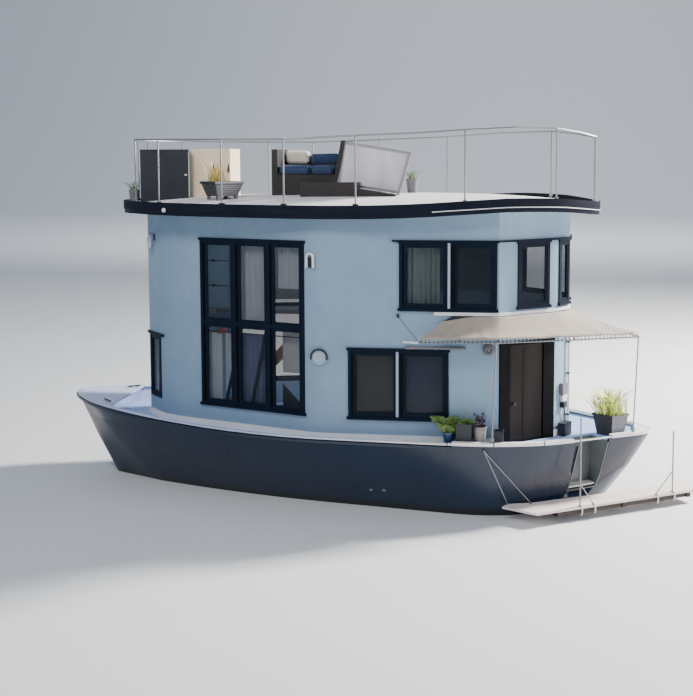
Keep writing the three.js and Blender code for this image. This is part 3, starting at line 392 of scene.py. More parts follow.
# Galvanised tube: dull zinc with spangle patches, a metal
zinc, tree, shader, place = startFinish("galvanised_tube", "8b8c8f", 0.5, 1.0)
spangle = addNode(tree, "ShaderNodeTexVoronoi", {"Vector": place, "Scale": 70.0}).outputs["Distance"]
tree.links.new(blend(tree, spangle, "74767a", "9c9ea1", 0.0, 0.7), shader.inputs["Base Color"])
gloss = addNode(tree, "ShaderNodeMapRange", {
    "Value": spangle, "From Min": 0.0, "From Max": 0.8, "To Min": 0.32, "To Max": 0.55}).outputs[0]
tree.links.new(gloss, shader.inputs["Roughness"])

# Float glass, slightly grey: thin sheets that show the room and a soft reflection
glass, tree, shader, place = startFinish("grey_float_glass", "141c26", 0.04, 0.0, 1.52)
shader.inputs["Alpha"].default_value = 0.3
ripple = addNode(tree, "ShaderNodeTexNoise", {"Vector": place, "Scale": 1.4, "Detail": 1.0}).outputs[0]
wave = addNode(tree, "ShaderNodeBump", {"Height": ripple, "Distance": 0.004, "Strength": 0.5}).outputs[0]
tree.links.new(wave, shader.inputs["Normal"])


# Woven cloth: thread waves along three axes in the relief and the tone, coarser than life so that they show
def clothFinish(name, tones, thread, roughness, alpha=1.0, sheen=0.25):
    material, tree, shader, place = startFinish(name, tones[0], roughness)
    slow = addNode(tree, "ShaderNodeTexNoise", {"Vector": place, "Scale": 3.2, "Detail": 5.0}).outputs[0]
    tone = blend(tree, slow, tones[0], tones[1], 0.3, 0.7)
    weave = 0.0
    for axis in ("X", "Y", "Z"):
        wave = addNode(tree, "ShaderNodeTexWave", {"Vector": place, "Scale": 0.5 / thread, "Distortion": 0.6},
                       wave_type="BANDS", bands_direction=axis).outputs["Fac"]
        weave = addNode(tree, "ShaderNodeMath", {0: weave, 1: wave}, operation="ADD").outputs[0]
    shaded = blend(tree, weave, tone, tones[2], 0.6, 2.4, 0.0, 0.5)
    tree.links.new(shaded, shader.inputs["Base Color"])
    relief = addNode(tree, "ShaderNodeBump", {"Height": weave, "Distance": thread * 0.25, "Strength": 0.5})
    tree.links.new(relief.outputs[0], shader.inputs["Normal"])
    shader.inputs["Sheen Weight"].default_value = sheen
    shader.inputs["Alpha"].default_value = alpha
    return material


awningCloth = clothFinish("taupe_acrylic_canvas", ("b3a698", "a6988b", "95877b"), 0.006, 0.85)
navyCloth = clothFinish("navy_acrylic_cloth", ("2c4468", "253a5c", "1e3050"), 0.005, 0.9)
beigeCloth = clothFinish("beige_acrylic_cloth", ("f0e4d6", "e4d6c6", "cfbfae"), 0.005, 0.9)
greenVoile = clothFinish("grey_green_voile", ("9fb3ae", "8ea39e", "7d928d"), 0.004, 0.9, 0.95)
voile = clothFinish("white_voile", ("e9eef4", "dde2ea", "cfd6df"), 0.004, 0.9, 0.9)
blueCloth = clothFinish("blue_cotton", ("7a86b0", "66749f", "55628c"), 0.004, 0.9)


# Wood: long grain by stretched noise, with board-to-board tone from a step across the boards
def woodFinish(name, tones, along, roughness, board=0.148, wear=0.0):
    material, tree, shader, place = startFinish(name, tones[0], roughness)
    turned = addNode(tree, "ShaderNodeMapping", {"Vector": place, "Rotation": (0, 0, -along)}).outputs[0]
    thin = addNode(tree, "ShaderNodeMapping", {"Vector": turned, "Scale": (1.6, 42.0, 42.0)}).outputs[0]
    grain = addNode(tree, "ShaderNodeTexNoise", {
        "Vector": thin, "Scale": 1.0, "Detail": 6.0, "Roughness": 0.65}).outputs[0]
    tone = blend(tree, grain, tones[0], tones[1], 0.32, 0.7)
    across = addNode(tree, "ShaderNodeSeparateXYZ", {"Vector": turned}).outputs["Y"]
    step = addNode(tree, "ShaderNodeMath", {0: across, 1: board}, operation="SNAP").outputs[0]
    odd = addNode(tree, "ShaderNodeTexWhiteNoise", {"W": step}, noise_dimensions="1D").outputs["Value"]
    boards = blend(tree, odd, tone, tones[2], 0.0, 1.0, 0.0, 0.45)
    if wear:
        soft = addNode(tree, "ShaderNodeTexNoise", {"Vector": place, "Scale": 2.5, "Detail": 6.0}).outputs[0]
        boards = blend(tree, soft, boards, "b0a49d", 0.45, 0.75, 0.0, wear)
    tree.links.new(boards, shader.inputs["Base Color"])
    relief = addNode(tree, "ShaderNodeBump", {"Height": grain, "Distance": 0.002, "Strength": 0.6})
    tree.links.new(relief.outputs[0], shader.inputs["Normal"])
    return material


platformAlong = (0.824, 0.566)  # the way the boarding platform runs, as a unit vector
platformTurn = math.atan2(platformAlong[1], platformAlong[0])
paleBoards = woodFinish("bleached_softwood", ("f0e1db", "e3d2ca", "dbcac2"), platformTurn, 0.8, 0.148, 0.4)
wetTimber = woodFinish("wet_tarred_timber", ("33211a", "20140f", "291a14"), platformTurn + math.pi / 2, 0.45)
cabinWood = woodFinish("varnished_pine", ("9a7049", "86603d", "a57c54"), 0.0, 0.5)

# Resin wicker: flat strands over and under, drawn 16 mm wide so that they show
wicker, tree, shader, place = startFinish("resin_wicker", "2a2422", 0.55)
upright = addNode(tree, "ShaderNodeMapping", {"Vector": place, "Rotation": (math.pi / 2, 0, 0)}).outputs[0]
strands = addNode(tree, "ShaderNodeTexBrick", {
    "Vector": upright, "Color1": linear("2d2725"), "Color2": linear("1d1a1a"), "Mortar": linear("0b0a0b"),
    "Scale": 1.0, "Mortar Size": 0.0025, "Brick Width": 0.045, "Row Height": 0.016})
tree.links.new(strands.outputs["Color"], shader.inputs["Base Color"])
bumpy = addNode(tree, "ShaderNodeBump", {
    "Height": strands.outputs["Fac"], "Distance": 0.003, "Strength": 0.8}, invert=True)
tree.links.new(bumpy.outputs[0], shader.inputs["Normal"])

# The screen: flat grey frame in front of a dark woven box, told apart by their place across the boat
screen = {
    "boxFrom": 0.7565,
    "skirtFrom": 0.762,
    "skirtDeep": 0.29,
    "skirtOn": 1.05,
    "skirtGap": 0.003,
    "skirtFore": (-0.364, 6.236),
    "skirtAft": (-1.110, 6.124),
    "sheet": [(0.060, 6.369), (-1.114, 6.193), (-1.317, 6.915), (-0.070, 7.118)],
    "sheetAt": 0.725,
    "sheetThick": 0.004,
}
screenFinish, tree, shader, place = startFinish("screen_frame_and_box", "c9cbd0", 0.4)
acrossY = addNode(tree, "ShaderNodeSeparateXYZ", {"Vector": place}).outputs["Y"]
isBox = addNode(tree, "ShaderNodeMath", {0: acrossY, 1: screen["boxFrom"]}, operation="GREATER_THAN")
dust = addNode(tree, "ShaderNodeTexNoise", {"Vector": place, "Scale": 9.0, "Detail": 5.0}).outputs[0]
frameTone = blend(tree, dust, "7f7a7f", "a09b9f")
boxTone = blend(tree, dust, "2a201f", "1c1616")
tree.links.new(blend(tree, isBox.outputs[0], frameTone, boxTone), shader.inputs["Base Color"])

# Clear vinyl gone milky; its creases are painted as lighter and darker streaks, the painted highlight and shade
# of folds
vinyl, tree, shader, place = startFinish("milky_vinyl_sheet", "d6d3da", 0.3)
creaseLightPlace = addNode(tree, "ShaderNodeMapping", {"Vector": place, "Scale": (2.6, 1.0, 0.9)}).outputs[0]
creaseLightAndShade = addNode(tree, "ShaderNodeTexNoise", {"Vector": creaseLightPlace, "Scale": 1.0, "Detail": 2.0}).outputs[0]
# painted highlight and shade: streaks for the light on the folds of a flat sheet
tree.links.new(blend(tree, creaseLightAndShade, "c6c2c9", "e6e1e6", 0.3, 0.7), shader.inputs["Base Color"])
shader.inputs["Alpha"].default_value = 0.86


def leafFinish(name, tones):  # living leaf: two greens in small patches, a little light through it
    material, tree, shader, place = startFinish(name, tones[0], 0.5)
    patch = addNode(tree, "ShaderNodeTexNoise", {"Vector": place, "Scale": 26.0, "Detail": 3.0}).outputs[0]
    tree.links.new(blend(tree, patch, tones[0], tones[1], 0.35, 0.65), shader.inputs["Base Color"])
    shader.inputs["Subsurface Weight"].default_value = 0.12
    shader.inputs["Subsurface Radius"].default_value = (0.01, 0.02, 0.005)
    return material


fernGreen = leafFinish("fern_green", ("5c7a3c", "7f9850"))
limeGreen = leafFinish("lime_grass", ("c4cf62", "e9eda0"))
purpleLeaf = leafFinish("purple_leaf", ("3b2a38", "55404c"))
wheatGrass = leafFinish("straw_grass", ("c9b45a", "e2d27c"))
darkBud = leafFinish("dark_flower", ("3a1f1c", "54302a"))
flaxLeaf = leafFinish("flax_leaf", ("6d7266", "8a8c7c"))
print("finishes made")

# Floor at the waterline, which curves up far behind, and the soft room round it
studio = {
    "floorColour": "d9dadb",
    "floorHalf": 260,
    "floorNear": 90,
    "floorFar": -110,
    "curve": 60,
    "steps": 16,
    "skyColour": (0.66, 0.80, 1.0),
    "skyStrength": 0.55,
}
floorFinish = paintFinish("matt_floor", (studio["floorColour"],) * 2, 3.0, 0.9, 0.5, 0.0001)[0]
floorLine = [(studio["floorNear"], 0.0)]
for k in range(studio["steps"] + 1):
    a = math.pi / 2 * k / studio["steps"]
    back = studio["floorFar"] - studio["curve"] * math.sin(a)
    floorLine.append((back, studio["curve"] * (1 - math.cos(a))))
floorMesh = bpy.data.meshes.new("floor")
floorVerts = [(x, y, z) for y, z in floorLine for x in (-studio["floorHalf"], studio["floorHalf"])]
floorFaces = [(2 * k, 2 * k + 2, 2 * k + 3, 2 * k + 1) for k in range(len(floorLine) - 1)]
floorMesh.from_pydata(floorVerts, [], floorFaces)
floorMesh.materials.append(floorFinish)
floorMesh.shade_smooth()
ground = addObject("floor", floorMesh)
world = bpy.data.worlds.new("soft_room")
bpy.context.scene.world = world
world.use_nodes = True
world.node_tree.nodes["Background"].inputs[0].default_value = (*studio["skyColour"], 1)
world.node_tree.nodes["Background"].inputs[1].default_value = studio["skyStrength"]

lights = {  # name: place, what it looks at, size, watts, colour
    "key": ((-24, -13, 19), (-1, 0, 3), (4.0, 4.0), 40000.0, (1.0, 0.96, 0.9)),
    "quarter": ((-19, 9, 5), (-4, 0, 2), (9.0, 6.0), 1150.0, (1.0, 0.97, 0.95)),
    "backdrop": ((0, -60, 50), (0, -150, 14), (60.0, 60.0), 52000.0, (1.0, 1.0, 1.0)),
    "roof": ((3.5, 10, 12), (1.8, 0.4, 6.6), (2.5, 2.5), 720.0, (1.0, 0.95, 0.9)),
    "upper_cabin": ((1.2, 0.0, 5.7), (1.2, 0.3, 3.0), (1.2, 1.2), 45.0, (0.9, 0.96, 1.0)),
    "lower_cabin": ((0.9, 0.1, 3.4), (0.9, 0.4, 1.4), (1.2, 1.2), 50.0, (0.9, 0.94, 1.0)),
    "front": ((12, 21, 12), (0, 1, 2.5), (14.0, 14.0), 300.0, (0.86, 0.93, 1.0)),
}
for name, (place, target, size, watts, colour) in lights.items():
    lamp = bpy.data.lights.new(name, "AREA")
    lamp.energy = watts
    lamp.color = colour
    lamp.shape = "RECTANGLE"
    lamp.size, lamp.size_y = size
    holder = addObject(name, lamp)
    holder.location = place
    holder.rotation_euler = (Vector(target) - Vector(place)).to_track_quat("-Z", "Y").to_euler()
print("light and floor set")

# CAD nodes that keep their own mesh get their finishes
finishOf = {
    hullEnamel: ["keel_skeg"],
    deckFinish: ["main_deck"],
    whiteEnamel: ["roof_slab", "recess_step"],
    roofPaint: ["roof_deck"],
    framePaint: [name for name in nodes if "window_frame" in name],
    recessPaint: ["recess_liner"],
    doorTrim: ["door_frame"],
    glass: [name for name in nodes if "window_glass" in name],
    doorPaint: ["entrance_door"],
    darkIron: ["door_knob", "stern_bitts"],
    cabinWood: ["inner_stair"],
    cabinGrey: ["upper_floor"],
    laminate: ["roof_locker", "locker_lid"],
    beigePanel: ["hatch_housing", "hatch_door"],
    wicker: ["bench_frame"],
    paleBoards: ["boarding_platform"],
    wetTimber: ["platform_bearers"],
    screenFinish: ["screen_frame"],
}
for finish, names in finishOf.items():
    for name in names:
        nodes[name].data.materials.clear()
        nodes[name].data.materials.append(finish)
print("CAD nodes finished")

# Curved plating and tubes again with soft shading: copies with the facets smoothed, sharp edges kept
faired = {
    "weld": 0.0005,
    "flatWithin": 0.5,
    "sharpFrom": 32,
}
fairedNodes = {  # name: finish and slot
    "hull": (hullEnamel, "hull_paint"),
    "rub_rail": (hullEnamel, "hull_paint"),
    "bulwark": (bulwarkEnamel, "hull_paint"),
    "cap_rail": (railEnamel, "deck_paint"),
    "roof_fascia": (fasciaPaint, "fascia_paint"),
    "house_coaming": (whiteEnamel, "deck_paint"),
    "ledger_trim": (whiteEnamel, "deck_paint"),
    "lower_house_wall": (wallPaint, "wall_paint"),
    "upper_house_wall": (wallPaint, "wall_paint"),
    "roof_railing": (zinc, "galvanised_steel"),
    "awning_frame": (zinc, "galvanised_steel"),
    "platform_stays": (zinc, "galvanised_steel"),
    "platform_stanchion_fore": (zinc, "galvanised_steel"),
    "platform_stanchion_aft": (zinc, "galvanised_steel"),
}
for name, (finish, slot) in fairedNodes.items():
    mesh = nodes[name].data.copy()
    b = bmesh.new()
    b.from_mesh(mesh)
    bmesh.ops.remove_doubles(b, verts=b.verts, dist=faired["weld"])
    bmesh.ops.dissolve_degenerate(b, edges=b.edges, dist=faired["weld"])
    bmesh.ops.dissolve_limit(b, angle_limit=math.radians(faired["flatWithin"]), verts=b.verts, edges=b.edges)
    b.to_mesh(mesh)
    b.free()
    mesh.materials.clear()
    mesh.materials.append(finish)
    mesh.shade_smooth()
    mesh.set_sharp_from_angle(angle=math.radians(faired["sharpFrom"]))
    piece = addObject(name + "_faired", mesh)
    even = piece.modifiers.new("even", "WEIGHTED_NORMAL")
    even.keep_sharp = True
    settle(piece)
    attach(piece, "boat")
    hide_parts(name)
print("faired copies made")

# White cover strips over the mullions between the paired sashes of the side wall
strips = {
    "width": 0.048,
    "proud": 0.034,
    "places": [(2.385, 3.985, 5.235), (1.40, 1.865, 3.135)],  # centre, foot, head
}
half = strips["width"] / 2
shapes = [wallBox("side", at - half, at + half, foot, head, 0.0, strips["proud"])
          for at, foot, head in strips["places"]]
makePiece("mullion_strips", shapes, ventPaint, 0.004, mirror=True)

# Opening sashes set deep in the frames, with a near-black strip on the side that faces aft: painted shade for
# the shadowed reveal
sash = {
    "bar": 0.05,
    "slimBar": 0.04,
    "front": 0.014,
    "back": -0.019,
    "revealShadeFront": 0.002,
    "gap": 0.002,
    "bigPane": (0.192, 0.9035, 1.912, 3.4985),  # the lowest aft one of the big window: from, to, foot, head
    "bigPitch": (0.7895, 1.6645),
    "bigRevealShade": 0.055,
}
s0, s1, z0, z1 = sash["bigPane"]
stepAlong, stepUp = sash["bigPitch"]
panes = [("fore", s0 + stepAlong * c, s1 + stepAlong * c, z0 + stepUp * r, z1 + stepUp * r, sash["bigRevealShade"])
         for c in range(3) for r in range(2)]
panes += [  # face, from, to, foot, head, width of the painted-shade strip
    ("side", 0.507, 1.376, 1.892, 3.108, 0.045),
    ("side", 1.454, 2.323, 1.892, 3.108, 0.065),
    ("side", 1.497, 2.3235, 4.022, 5.193, 0.03),
    ("side", 2.4015, 3.228, 4.022, 5.193, 0.10),
    ("quarter", 0.494, 1.132, 4.047, 5.173, 0.0),
    ("corner", 0.182, 0.468, 4.047, 5.173, 0.0),
    ("bow", 0.132, 0.538, 1.872, 3.088, 0.0),
]
bars, revealShades = [], []
back, front, gap = sash["back"], sash["front"], sash["gap"]
for face, s0, s1, z0, z1, revealShade in panes:
    bar = sash["bar"] if revealShade else sash["slimBar"]
    z0, z1, s0, s1 = z0 + gap, z1 - gap, s0 + gap, s1 - gap
    # painted shade: a near-black strip inside the reveal, where it lies in shadow
    if revealShade:
        revealShades.append(wallBox(face, s0, s0 + revealShade, z0, z1, back, sash["revealShadeFront"]))
    s0 += revealShade
    bars += [wallBox(face, s0, s0 + bar, z0, z1, back, front),
             wallBox(face, s1 - bar, s1, z0, z1, back, front),
             wallBox(face, s0 + bar, s1 - bar, z0, z0 + bar, back, front),
             wallBox(face, s0 + bar, s1 - bar, z1 - bar, z1, back, front)]
makePiece("window_sashes", bars, framePaint, mirror=True)
makePiece("window_liners", revealShades, doorTrim, mirror=True)
print("sashes made:", len(panes), "a side")

# Awning: canvas stretched from the ledge to the tube, with soft folds from its corners
awning = {
    "wall": [(-2.09, 1.763, 3.745), (-2.69, 1.733, 3.845), (-3.20, 1.712, 3.850), (-4.262, 0.830, 3.850),
             (-4.54, 0.310, 3.845)],
    "edge": [(-1.73, 2.230, 3.497), (-2.45, 2.160, 3.503), (-3.16, 2.085, 3.508), (-4.60, 1.280, 3.478),
             (-5.81, 0.530, 3.450)],
    "rounding": 0.35,
    "sag": 0.058,
    "rows": 26,
    "columns": 96,
    "foldDepth": 0.012,
    "hemFrom": 0.93,
    "hemDrop": 0.035,
    "thickness": 0.002,
    "flat": (4.9, 1.35),
}


def smoothLine(points, t):  # a smooth curve through the points, t from 0 to 1
    n = len(points) - 1
    i = min(int(t * n), n - 1)
    f = t * n - i
    p = [Vector(points[max(0, min(n, i + k))]) for k in (-1, 0, 1, 2)]
    return 0.5 * ((2 * p[1]) + (p[2] - p[0]) * f + (2 * p[0] - 5 * p[1] + 4 * p[2] - p[3]) * f * f
                  + (3 * p[1] - p[0] - 3 * p[2] + p[3]) * f ** 3)


def mixedLine(points, t):  # mostly straight between the corners, a little rounded
    n = len(points) - 1
    i = min(int(t * n), n - 1)
    straight = Vector(points[i]).lerp(Vector(points[i + 1]), t * n - i)
    return straight.lerp(smoothLine(points, t), awning["rounding"])


verts = []
for i in range(awning["columns"] + 1):
    t = i / awning["columns"]
    top, low = mixedLine(awning["wall"], t), mixedLine(awning["edge"], t)
    ends = math.sin(math.pi * t) ** 0.5
    for k in range(awning["rows"] + 1):
        f = k / awning["rows"]
        p = top.lerp(low, f)
        p.z -= awning["sag"] * 4 * f * (1 - f)
        ridges = math.sin(t * 43 + f * 3.0) * 0.5 + math.sin(t * 71 - f * 5.0 + 1.0) * 0.35
        p.z += awning["foldDepth"] * ridges * (0.3 + f) * (1.2 - 0.6 * ends)
        if f > awning["hemFrom"]:
            p.z -= awning["hemDrop"] * (f - awning["hemFrom"]) / (1 - awning["hemFrom"])
        verts.append(p)
faces = rowFaces(awning["columns"] + 1, awning["rows"] + 1, False)
canopy = makePiece("awning_canvas", [(verts, faces)], awningCloth, smooth=True)
cloth = canopy.modifiers.new("thickness", "SOLIDIFY")
cloth.thickness = awning["thickness"]
cloth.offset = 0
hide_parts("awning_cloth")

# Cushions: a pad swelled by cloth under pressure
cushions = {
    "margin": 0.014,
    "corner": 0.035,
    "voxel": 0.011,
    "pressure": 3.2,
    "stiffness": 25,
    "cap": 0.018,
    "crown": 0.012,
    "frames": 14,
    "fill": 0.7,
    "seamCorner": 0.046,
    "seamInset": 0.05,
    "seamRadius": 0.006,
    "seamLevel": 0.03,
}


def swollenPad(name, low, high, material):
    mesh = bpy.data.meshes.new(name)
    b = bmesh.new()
    lo = Vector(low) + Vector((cushions["margin"],) * 3)
    hi = Vector(high) - Vector((cushions["margin"],) * 3)
    bmesh.ops.create_cube(b, size=1)
    for v in b.verts:
        v.co = Vector([lo[i] + (v.co[i] + 0.5) * (hi[i] - lo[i]) for i in range(3)])
    bmesh.ops.bevel(b, geom=b.edges[:], offset=cushions["corner"], segments=3, affect="EDGES")
    b.to_mesh(mesh)
    b.free()
    pad = addObject(name, mesh)
    remesh = pad.modifiers.new("even", "REMESH")
    remesh.mode = "VOXEL"
    remesh.voxel_size = cushions["voxel"]
    even = settle(pad)
    start = [v.co.copy() for v in even.vertices]
    cloth = pad.modifiers.new("swell", "CLOTH")
    cloth.settings.quality = 4
    cloth.settings.use_pressure = True
    cloth.settings.uniform_pressure_force = cushions["pressure"]
    cloth.settings.tension_stiffness = cushions["stiffness"]
    cloth.settings.effector_weights.gravity = 0
    cloth.point_cache.frame_start = 1
    cloth.point_cache.frame_end = cushions["frames"]
    for number in range(1, cushions["frames"] + 1):
        bpy.context.scene.frame_set(number)
    swelled = settle(pad)
    for v, was in zip(swelled.vertices, start):
        moved = v.co - was
        if moved.length > cushions["cap"]:
            v.co = was + moved.normalized() * cushions["cap"]
    bpy.context.scene.frame_set(1)
    for v in pad.data.vertices:  # stays in the space of its solid and flat where it lies
        for axis in range(3):
            highest = high[axis] + (cushions["crown"] if axis == 2 else -0.001)
            v.co[axis] = min(max(v.co[axis], low[axis] + 0.001), highest)
    pad.data.materials.clear()
    pad.data.materials.append(material)
    pad.data.shade_smooth()
    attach(pad, "boat")
    return pad


def seamRound(low, high, level):  # piped seam round a pad
    points = []
    inset, radius = cushions["seamInset"], cushions["seamCorner"]
    for cx, cy, start in ((high[0] - inset, high[1] - inset, 0), (low[0] + inset, high[1] - inset, 1),
                          (low[0] + inset, low[1] + inset, 2), (high[0] - inset, low[1] + inset, 3)):
        for k in range(7):
            a = math.pi / 2 * (start + k / 6)
            points.append((cx + math.cos(a) * radius, cy + math.sin(a) * radius, level))
    return tubeShape(points + [points[0]], cushions["seamRadius"], 6, False)


piping = []
for name in ("seat_cushion_fore", "seat_cushion_aft", "back_cushion"):
    low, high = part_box(name)
    pad = swollenPad(name.replace("cushion", "pad"), low, high, navyCloth)
    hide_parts(name)
    for level in (low.z + cushions["seamLevel"], high.z - cushions["seamLevel"]):
        piping.append(seamRound(low, high, level))
makePiece("cushion_piping", piping, navyCloth, smooth=True)
swollenPad("fore_back_pad", (0.83, -0.095, 6.712), (1.368, 0.10, 7.02), beigeCloth)
print("cushions made")

# Curtains: voile gathered on a rail behind the glass
curtains = {  # name: face, from, to, foot, head, folds, depth of a fold, seed, cloth
    "curtain_big_fore": ("fore", 1.00, 1.68, 3.60, 5.14, 6, 0.036, 3, voile),
    "curtain_big_aft": ("fore", 1.80, 2.48, 4.28, 5.14, 6, 0.036, 5, voile),
    "curtain_side": ("side", 1.50, 2.20, 4.00, 5.18, 7, 0.034, 8, greenVoile),
    "drape_pale": ("fore", 0.22, 0.52, 1.82, 3.31, 5, 0.030, 11, voile),
    "drape_grey": ("fore", 0.60, 0.88, 2.10, 3.31, 4, 0.030, 12, voile),
    "drape_blue": ("fore", 0.92, 1.56, 1.82, 3.31, 6, 0.036, 13, blueCloth),
}
curtainRails = {
    "out": -0.17,
    "radius": 0.012,
    "bracketRadius": 0.009,
    "brackets": (-0.18, -0.092),
    "places": [("fore", 0.10, 2.57, 5.15), ("side", 1.40, 3.27, 5.19), ("fore", 0.10, 2.57, 3.32)],
}
rails = []
for face, s0, s1, level in curtainRails["places"]:
    ends = [onWall(face, s, level, curtainRails["out"]) for s in (s0, s1)]
    rails.append(tubeShape(ends, curtainRails["radius"]))
    for s in (s0, s1):
        bracket = [onWall(face, s, level, out) for out in curtainRails["brackets"]]
        rails.append(tubeShape(bracket, curtainRails["bracketRadius"]))
makePiece("curtain_rails", rails, darkIron, smooth=True)


def curtain(name, face, s0, s1, z0, z1, folds, depth, seed, cloth):
    phase = random.Random(seed).uniform(0, 6.28)
    across, down = folds * 10, 16
    verts, lengths = [], []
    for j in range(down + 1):
        v = j / down
        row = []
        for i in range(across + 1):
            u = i / across
            wave = math.sin(u * folds * 2 * math.pi + phase) * (0.7 + 0.3 * math.sin(u * 9 + seed))
            out = curtainRails["out"] + depth * wave * (0.6 + 0.4 * v)
            row.append(onWall(face, s0 + (s1 - s0) * u, z1 + (z0 - z1) * v, out))
        lengths.append(sum((b - a).length for a, b in zip(row, row[1:])))
        verts += row
    piece = makePiece(name, [(verts, rowFaces(down + 1, across + 1, False))], cloth, smooth=True)


for name, values in curtains.items():
    curtain(name, *values)

# What shows in the cabins: a wall board on holders, a bench end, curtain arms, slanting stringers and a lamp
cabin = {
    "sole": 1.39,
    "holderLevels": (2.7, 3.2),
    "benchEnd": [(1.84, 2.34), (2.40, 1.84), (2.40, 1.39), (1.84, 1.39)],
    "armLevels": (4.27, 4.78),
    "stringers": [(0.52, 1.05), (1.14, 1.63)],  # foot, top
    "stringerHalf": 0.03,
    "stringerTop": 3.52,
    "lamp": (0.47, -0.24),
}
holders = [wallBox("fore", s0, s1, level, level + 0.04, d0, d1) for level in cabin["holderLevels"]
           for s0, s1, d0, d1 in ((2.40, 2.62, -0.315, -0.301), (2.58, 2.62, -0.300, -0.091))]
makePiece("board_holders", holders, darkIron)
benchEnd = [onWall("fore", s, z, -0.34) for s, z in cabin["benchEnd"]]
makePiece("cabin_bench_end", [prismShape(benchEnd, (0.01, -0.03, 0))], darkIron, bevel=0.004)
arms = []
for level in cabin["armLevels"]:  # each stands on a plate and has a collar
    reach = wallPath("fore", [(0.11, level, -0.11), (0.36, level, -0.13), (0.72, level, -0.13)])
    collar = wallPath("fore", [(0.33, level, -0.13), (0.37, level, -0.13)])
    arms += [tubeShape(reach, 0.010, 8), tubeShape(collar, 0.035, 12),
             wallBox("fore", 0.08, 0.115, level - 0.05, level + 0.05, -0.15, -0.091)]
makePiece("curtain_arms", arms, darkIron, smooth=True)
stringers = []
for foot, top in cabin["stringers"]:
    half = cabin["stringerHalf"]
    outline = [(foot - half, cabin["sole"]), (foot + half, cabin["sole"]), (top + half, cabin["stringerTop"]),
               (top - half, cabin["stringerTop"])]
    stringers.append(prismShape([onWall("fore", s, z, -0.094) for s, z in outline], (-0.009, -0.031, 0)))
makePiece("cabin_stringers", stringers, framePaint)
lampS, lampOut = cabin["lamp"]
lampAt = onWall("fore", lampS, 0.0, lampOut)
shadeLine = [(0.03, 3.50), (0.10, 3.28), (0.094, 3.282), (0.026, 3.494)]
makePiece("cabin_lamp_shade", [turnedShape(shadeLine, lampAt)], coralShade, smooth=True)
stem = [(lampAt.x, lampAt.y, 3.49), (lampAt.x, lampAt.y, 3.70)]
makePiece("cabin_lamp_stem", [tubeShape(stem, 0.006, 6)], darkIron)

# Blinds: boards drawn down from cassettes, over the lower port windows and the far upper ones
portRolls = [wallBox("side", s0, s1, 3.165, 3.225, -0.17, -0.091)
             for s0, s1 in ((0.46, 1.395), (1.425, 2.37))]
makePiece("blind_cassettes", portRolls, darkIron, bevel=0.004)
farBlinds = [("side", 1.44, 3.28, 3.96, 5.19), ("fore", 0.14, 2.54, 3.72, 5.16)]  # face, from, to, foot, head
farBoards, farRolls = [], []
for face, s0, s1, z0, z1 in farBlinds:
    farBoards.append(toStarboard(wallBox(face, s0, s1, z0, z1, -0.16, -0.15)))
    farRolls.append(toStarboard(wallBox(face, s0 - 0.06, s1 + 0.06, z1 + 0.002, z1 + 0.062, -0.17, -0.091)))
makePiece("far_side_blinds", farBoards, greyBlind)
makePiece("far_blind_cassettes", farRolls, darkIron, bevel=0.004)
print("curtains and cabins made")


# One tree for all that repeats: a small part set on given points, or strewn over a patch
def repeatTree():
    tree = bpy.data.node_groups.new("repeat_parts", "GeometryNodeTree")
    wanted = (("Surface", "Geometry"), ("Part", "Object"), ("Finish", "Material"), ("Strewn", "Bool"),
              ("Per Square Metre", "Float"), ("Seed", "Int"), ("Least Lean", "Float"), ("Most Lean", "Float"),
              ("Spin", "Float"), ("Size", "Float"), ("Size Change", "Float"))
    for label, kind in wanted:
        tree.interface.new_socket(label, in_out="INPUT", socket_type="NodeSocket" + kind)
    tree.interface.new_socket("Parts", in_out="OUTPUT", socket_type="NodeSocketGeometry")
    start = addNode(tree, "NodeGroupInput").outputs
    strewn = addNode(tree, "GeometryNodeDistributePointsOnFaces", {
        "Mesh": start["Surface"], "Density": start["Per Square Metre"], "Seed": start["Seed"]})
    given = addNode(tree, "GeometryNodeMeshToPoints", {"Mesh": start["Surface"]})
    spots = addNode(tree, "GeometryNodeSwitch", {
        "Switch": start["Strewn"], "False": given.outputs[0], "True": strewn.outputs[0]},
        input_type="GEOMETRY")
    lean = addNode(tree, "FunctionNodeRandomValue", {
        2: start["Least Lean"], 3: start["Most Lean"], 8: start["Seed"]})
    spin = addNode(tree, "FunctionNodeRandomValue", {2: 0.0, 3: start["Spin"], 8: start["Seed"]})
    odd = addNode(tree, "ShaderNodeCombineXYZ", {"X": lean.outputs[1], "Z": spin.outputs[1]})
    turn = addNode(tree, "GeometryNodeInputNamedAttribute", {"Name": "turn"}, data_type="FLOAT_VECTOR")
    first = addNode(tree, "FunctionNodeEulerToRotation", {"Euler": turn.outputs["Attribute"]})
    second = addNode(tree, "FunctionNodeEulerToRotation", {"Euler": odd.outputs[0]})
    both = addNode(tree, "FunctionNodeRotateRotation", {
        "Rotation": first.outputs[0], "Rotate By": second.outputs[0]}, rotation_space="LOCAL")
    smallest = addNode(tree, "ShaderNodeMath", {0: 1.0, 1: start["Size Change"]}, operation="SUBTRACT")
    change = addNode(tree, "FunctionNodeRandomValue", {2: smallest.outputs[0], 3: 1.0, 8: start["Seed"]})
    size = addNode(tree, "ShaderNodeMath", {0: change.outputs[1], 1: start["Size"]}, operation="MULTIPLY")
    part = addNode(tree, "GeometryNodeObjectInfo", {"Object": start["Part"]})
    placed = addNode(tree, "GeometryNodeInstanceOnPoints", {
        "Points": spots.outputs[0], "Instance": part.outputs["Geometry"], "Rotation": both.outputs[0],
        "Scale": size.outputs[0]})
    real = addNode(tree, "GeometryNodeRealizeInstances", {"Geometry": placed.outputs[0]}).outputs[0]
    done = addNode(tree, "GeometryNodeSetMaterial", {"Geometry": real, "Material": start["Finish"]})
    addNode(tree, "NodeGroupOutput", {"Parts": done.outputs[0]})
    return tree


repeats = repeatTree()


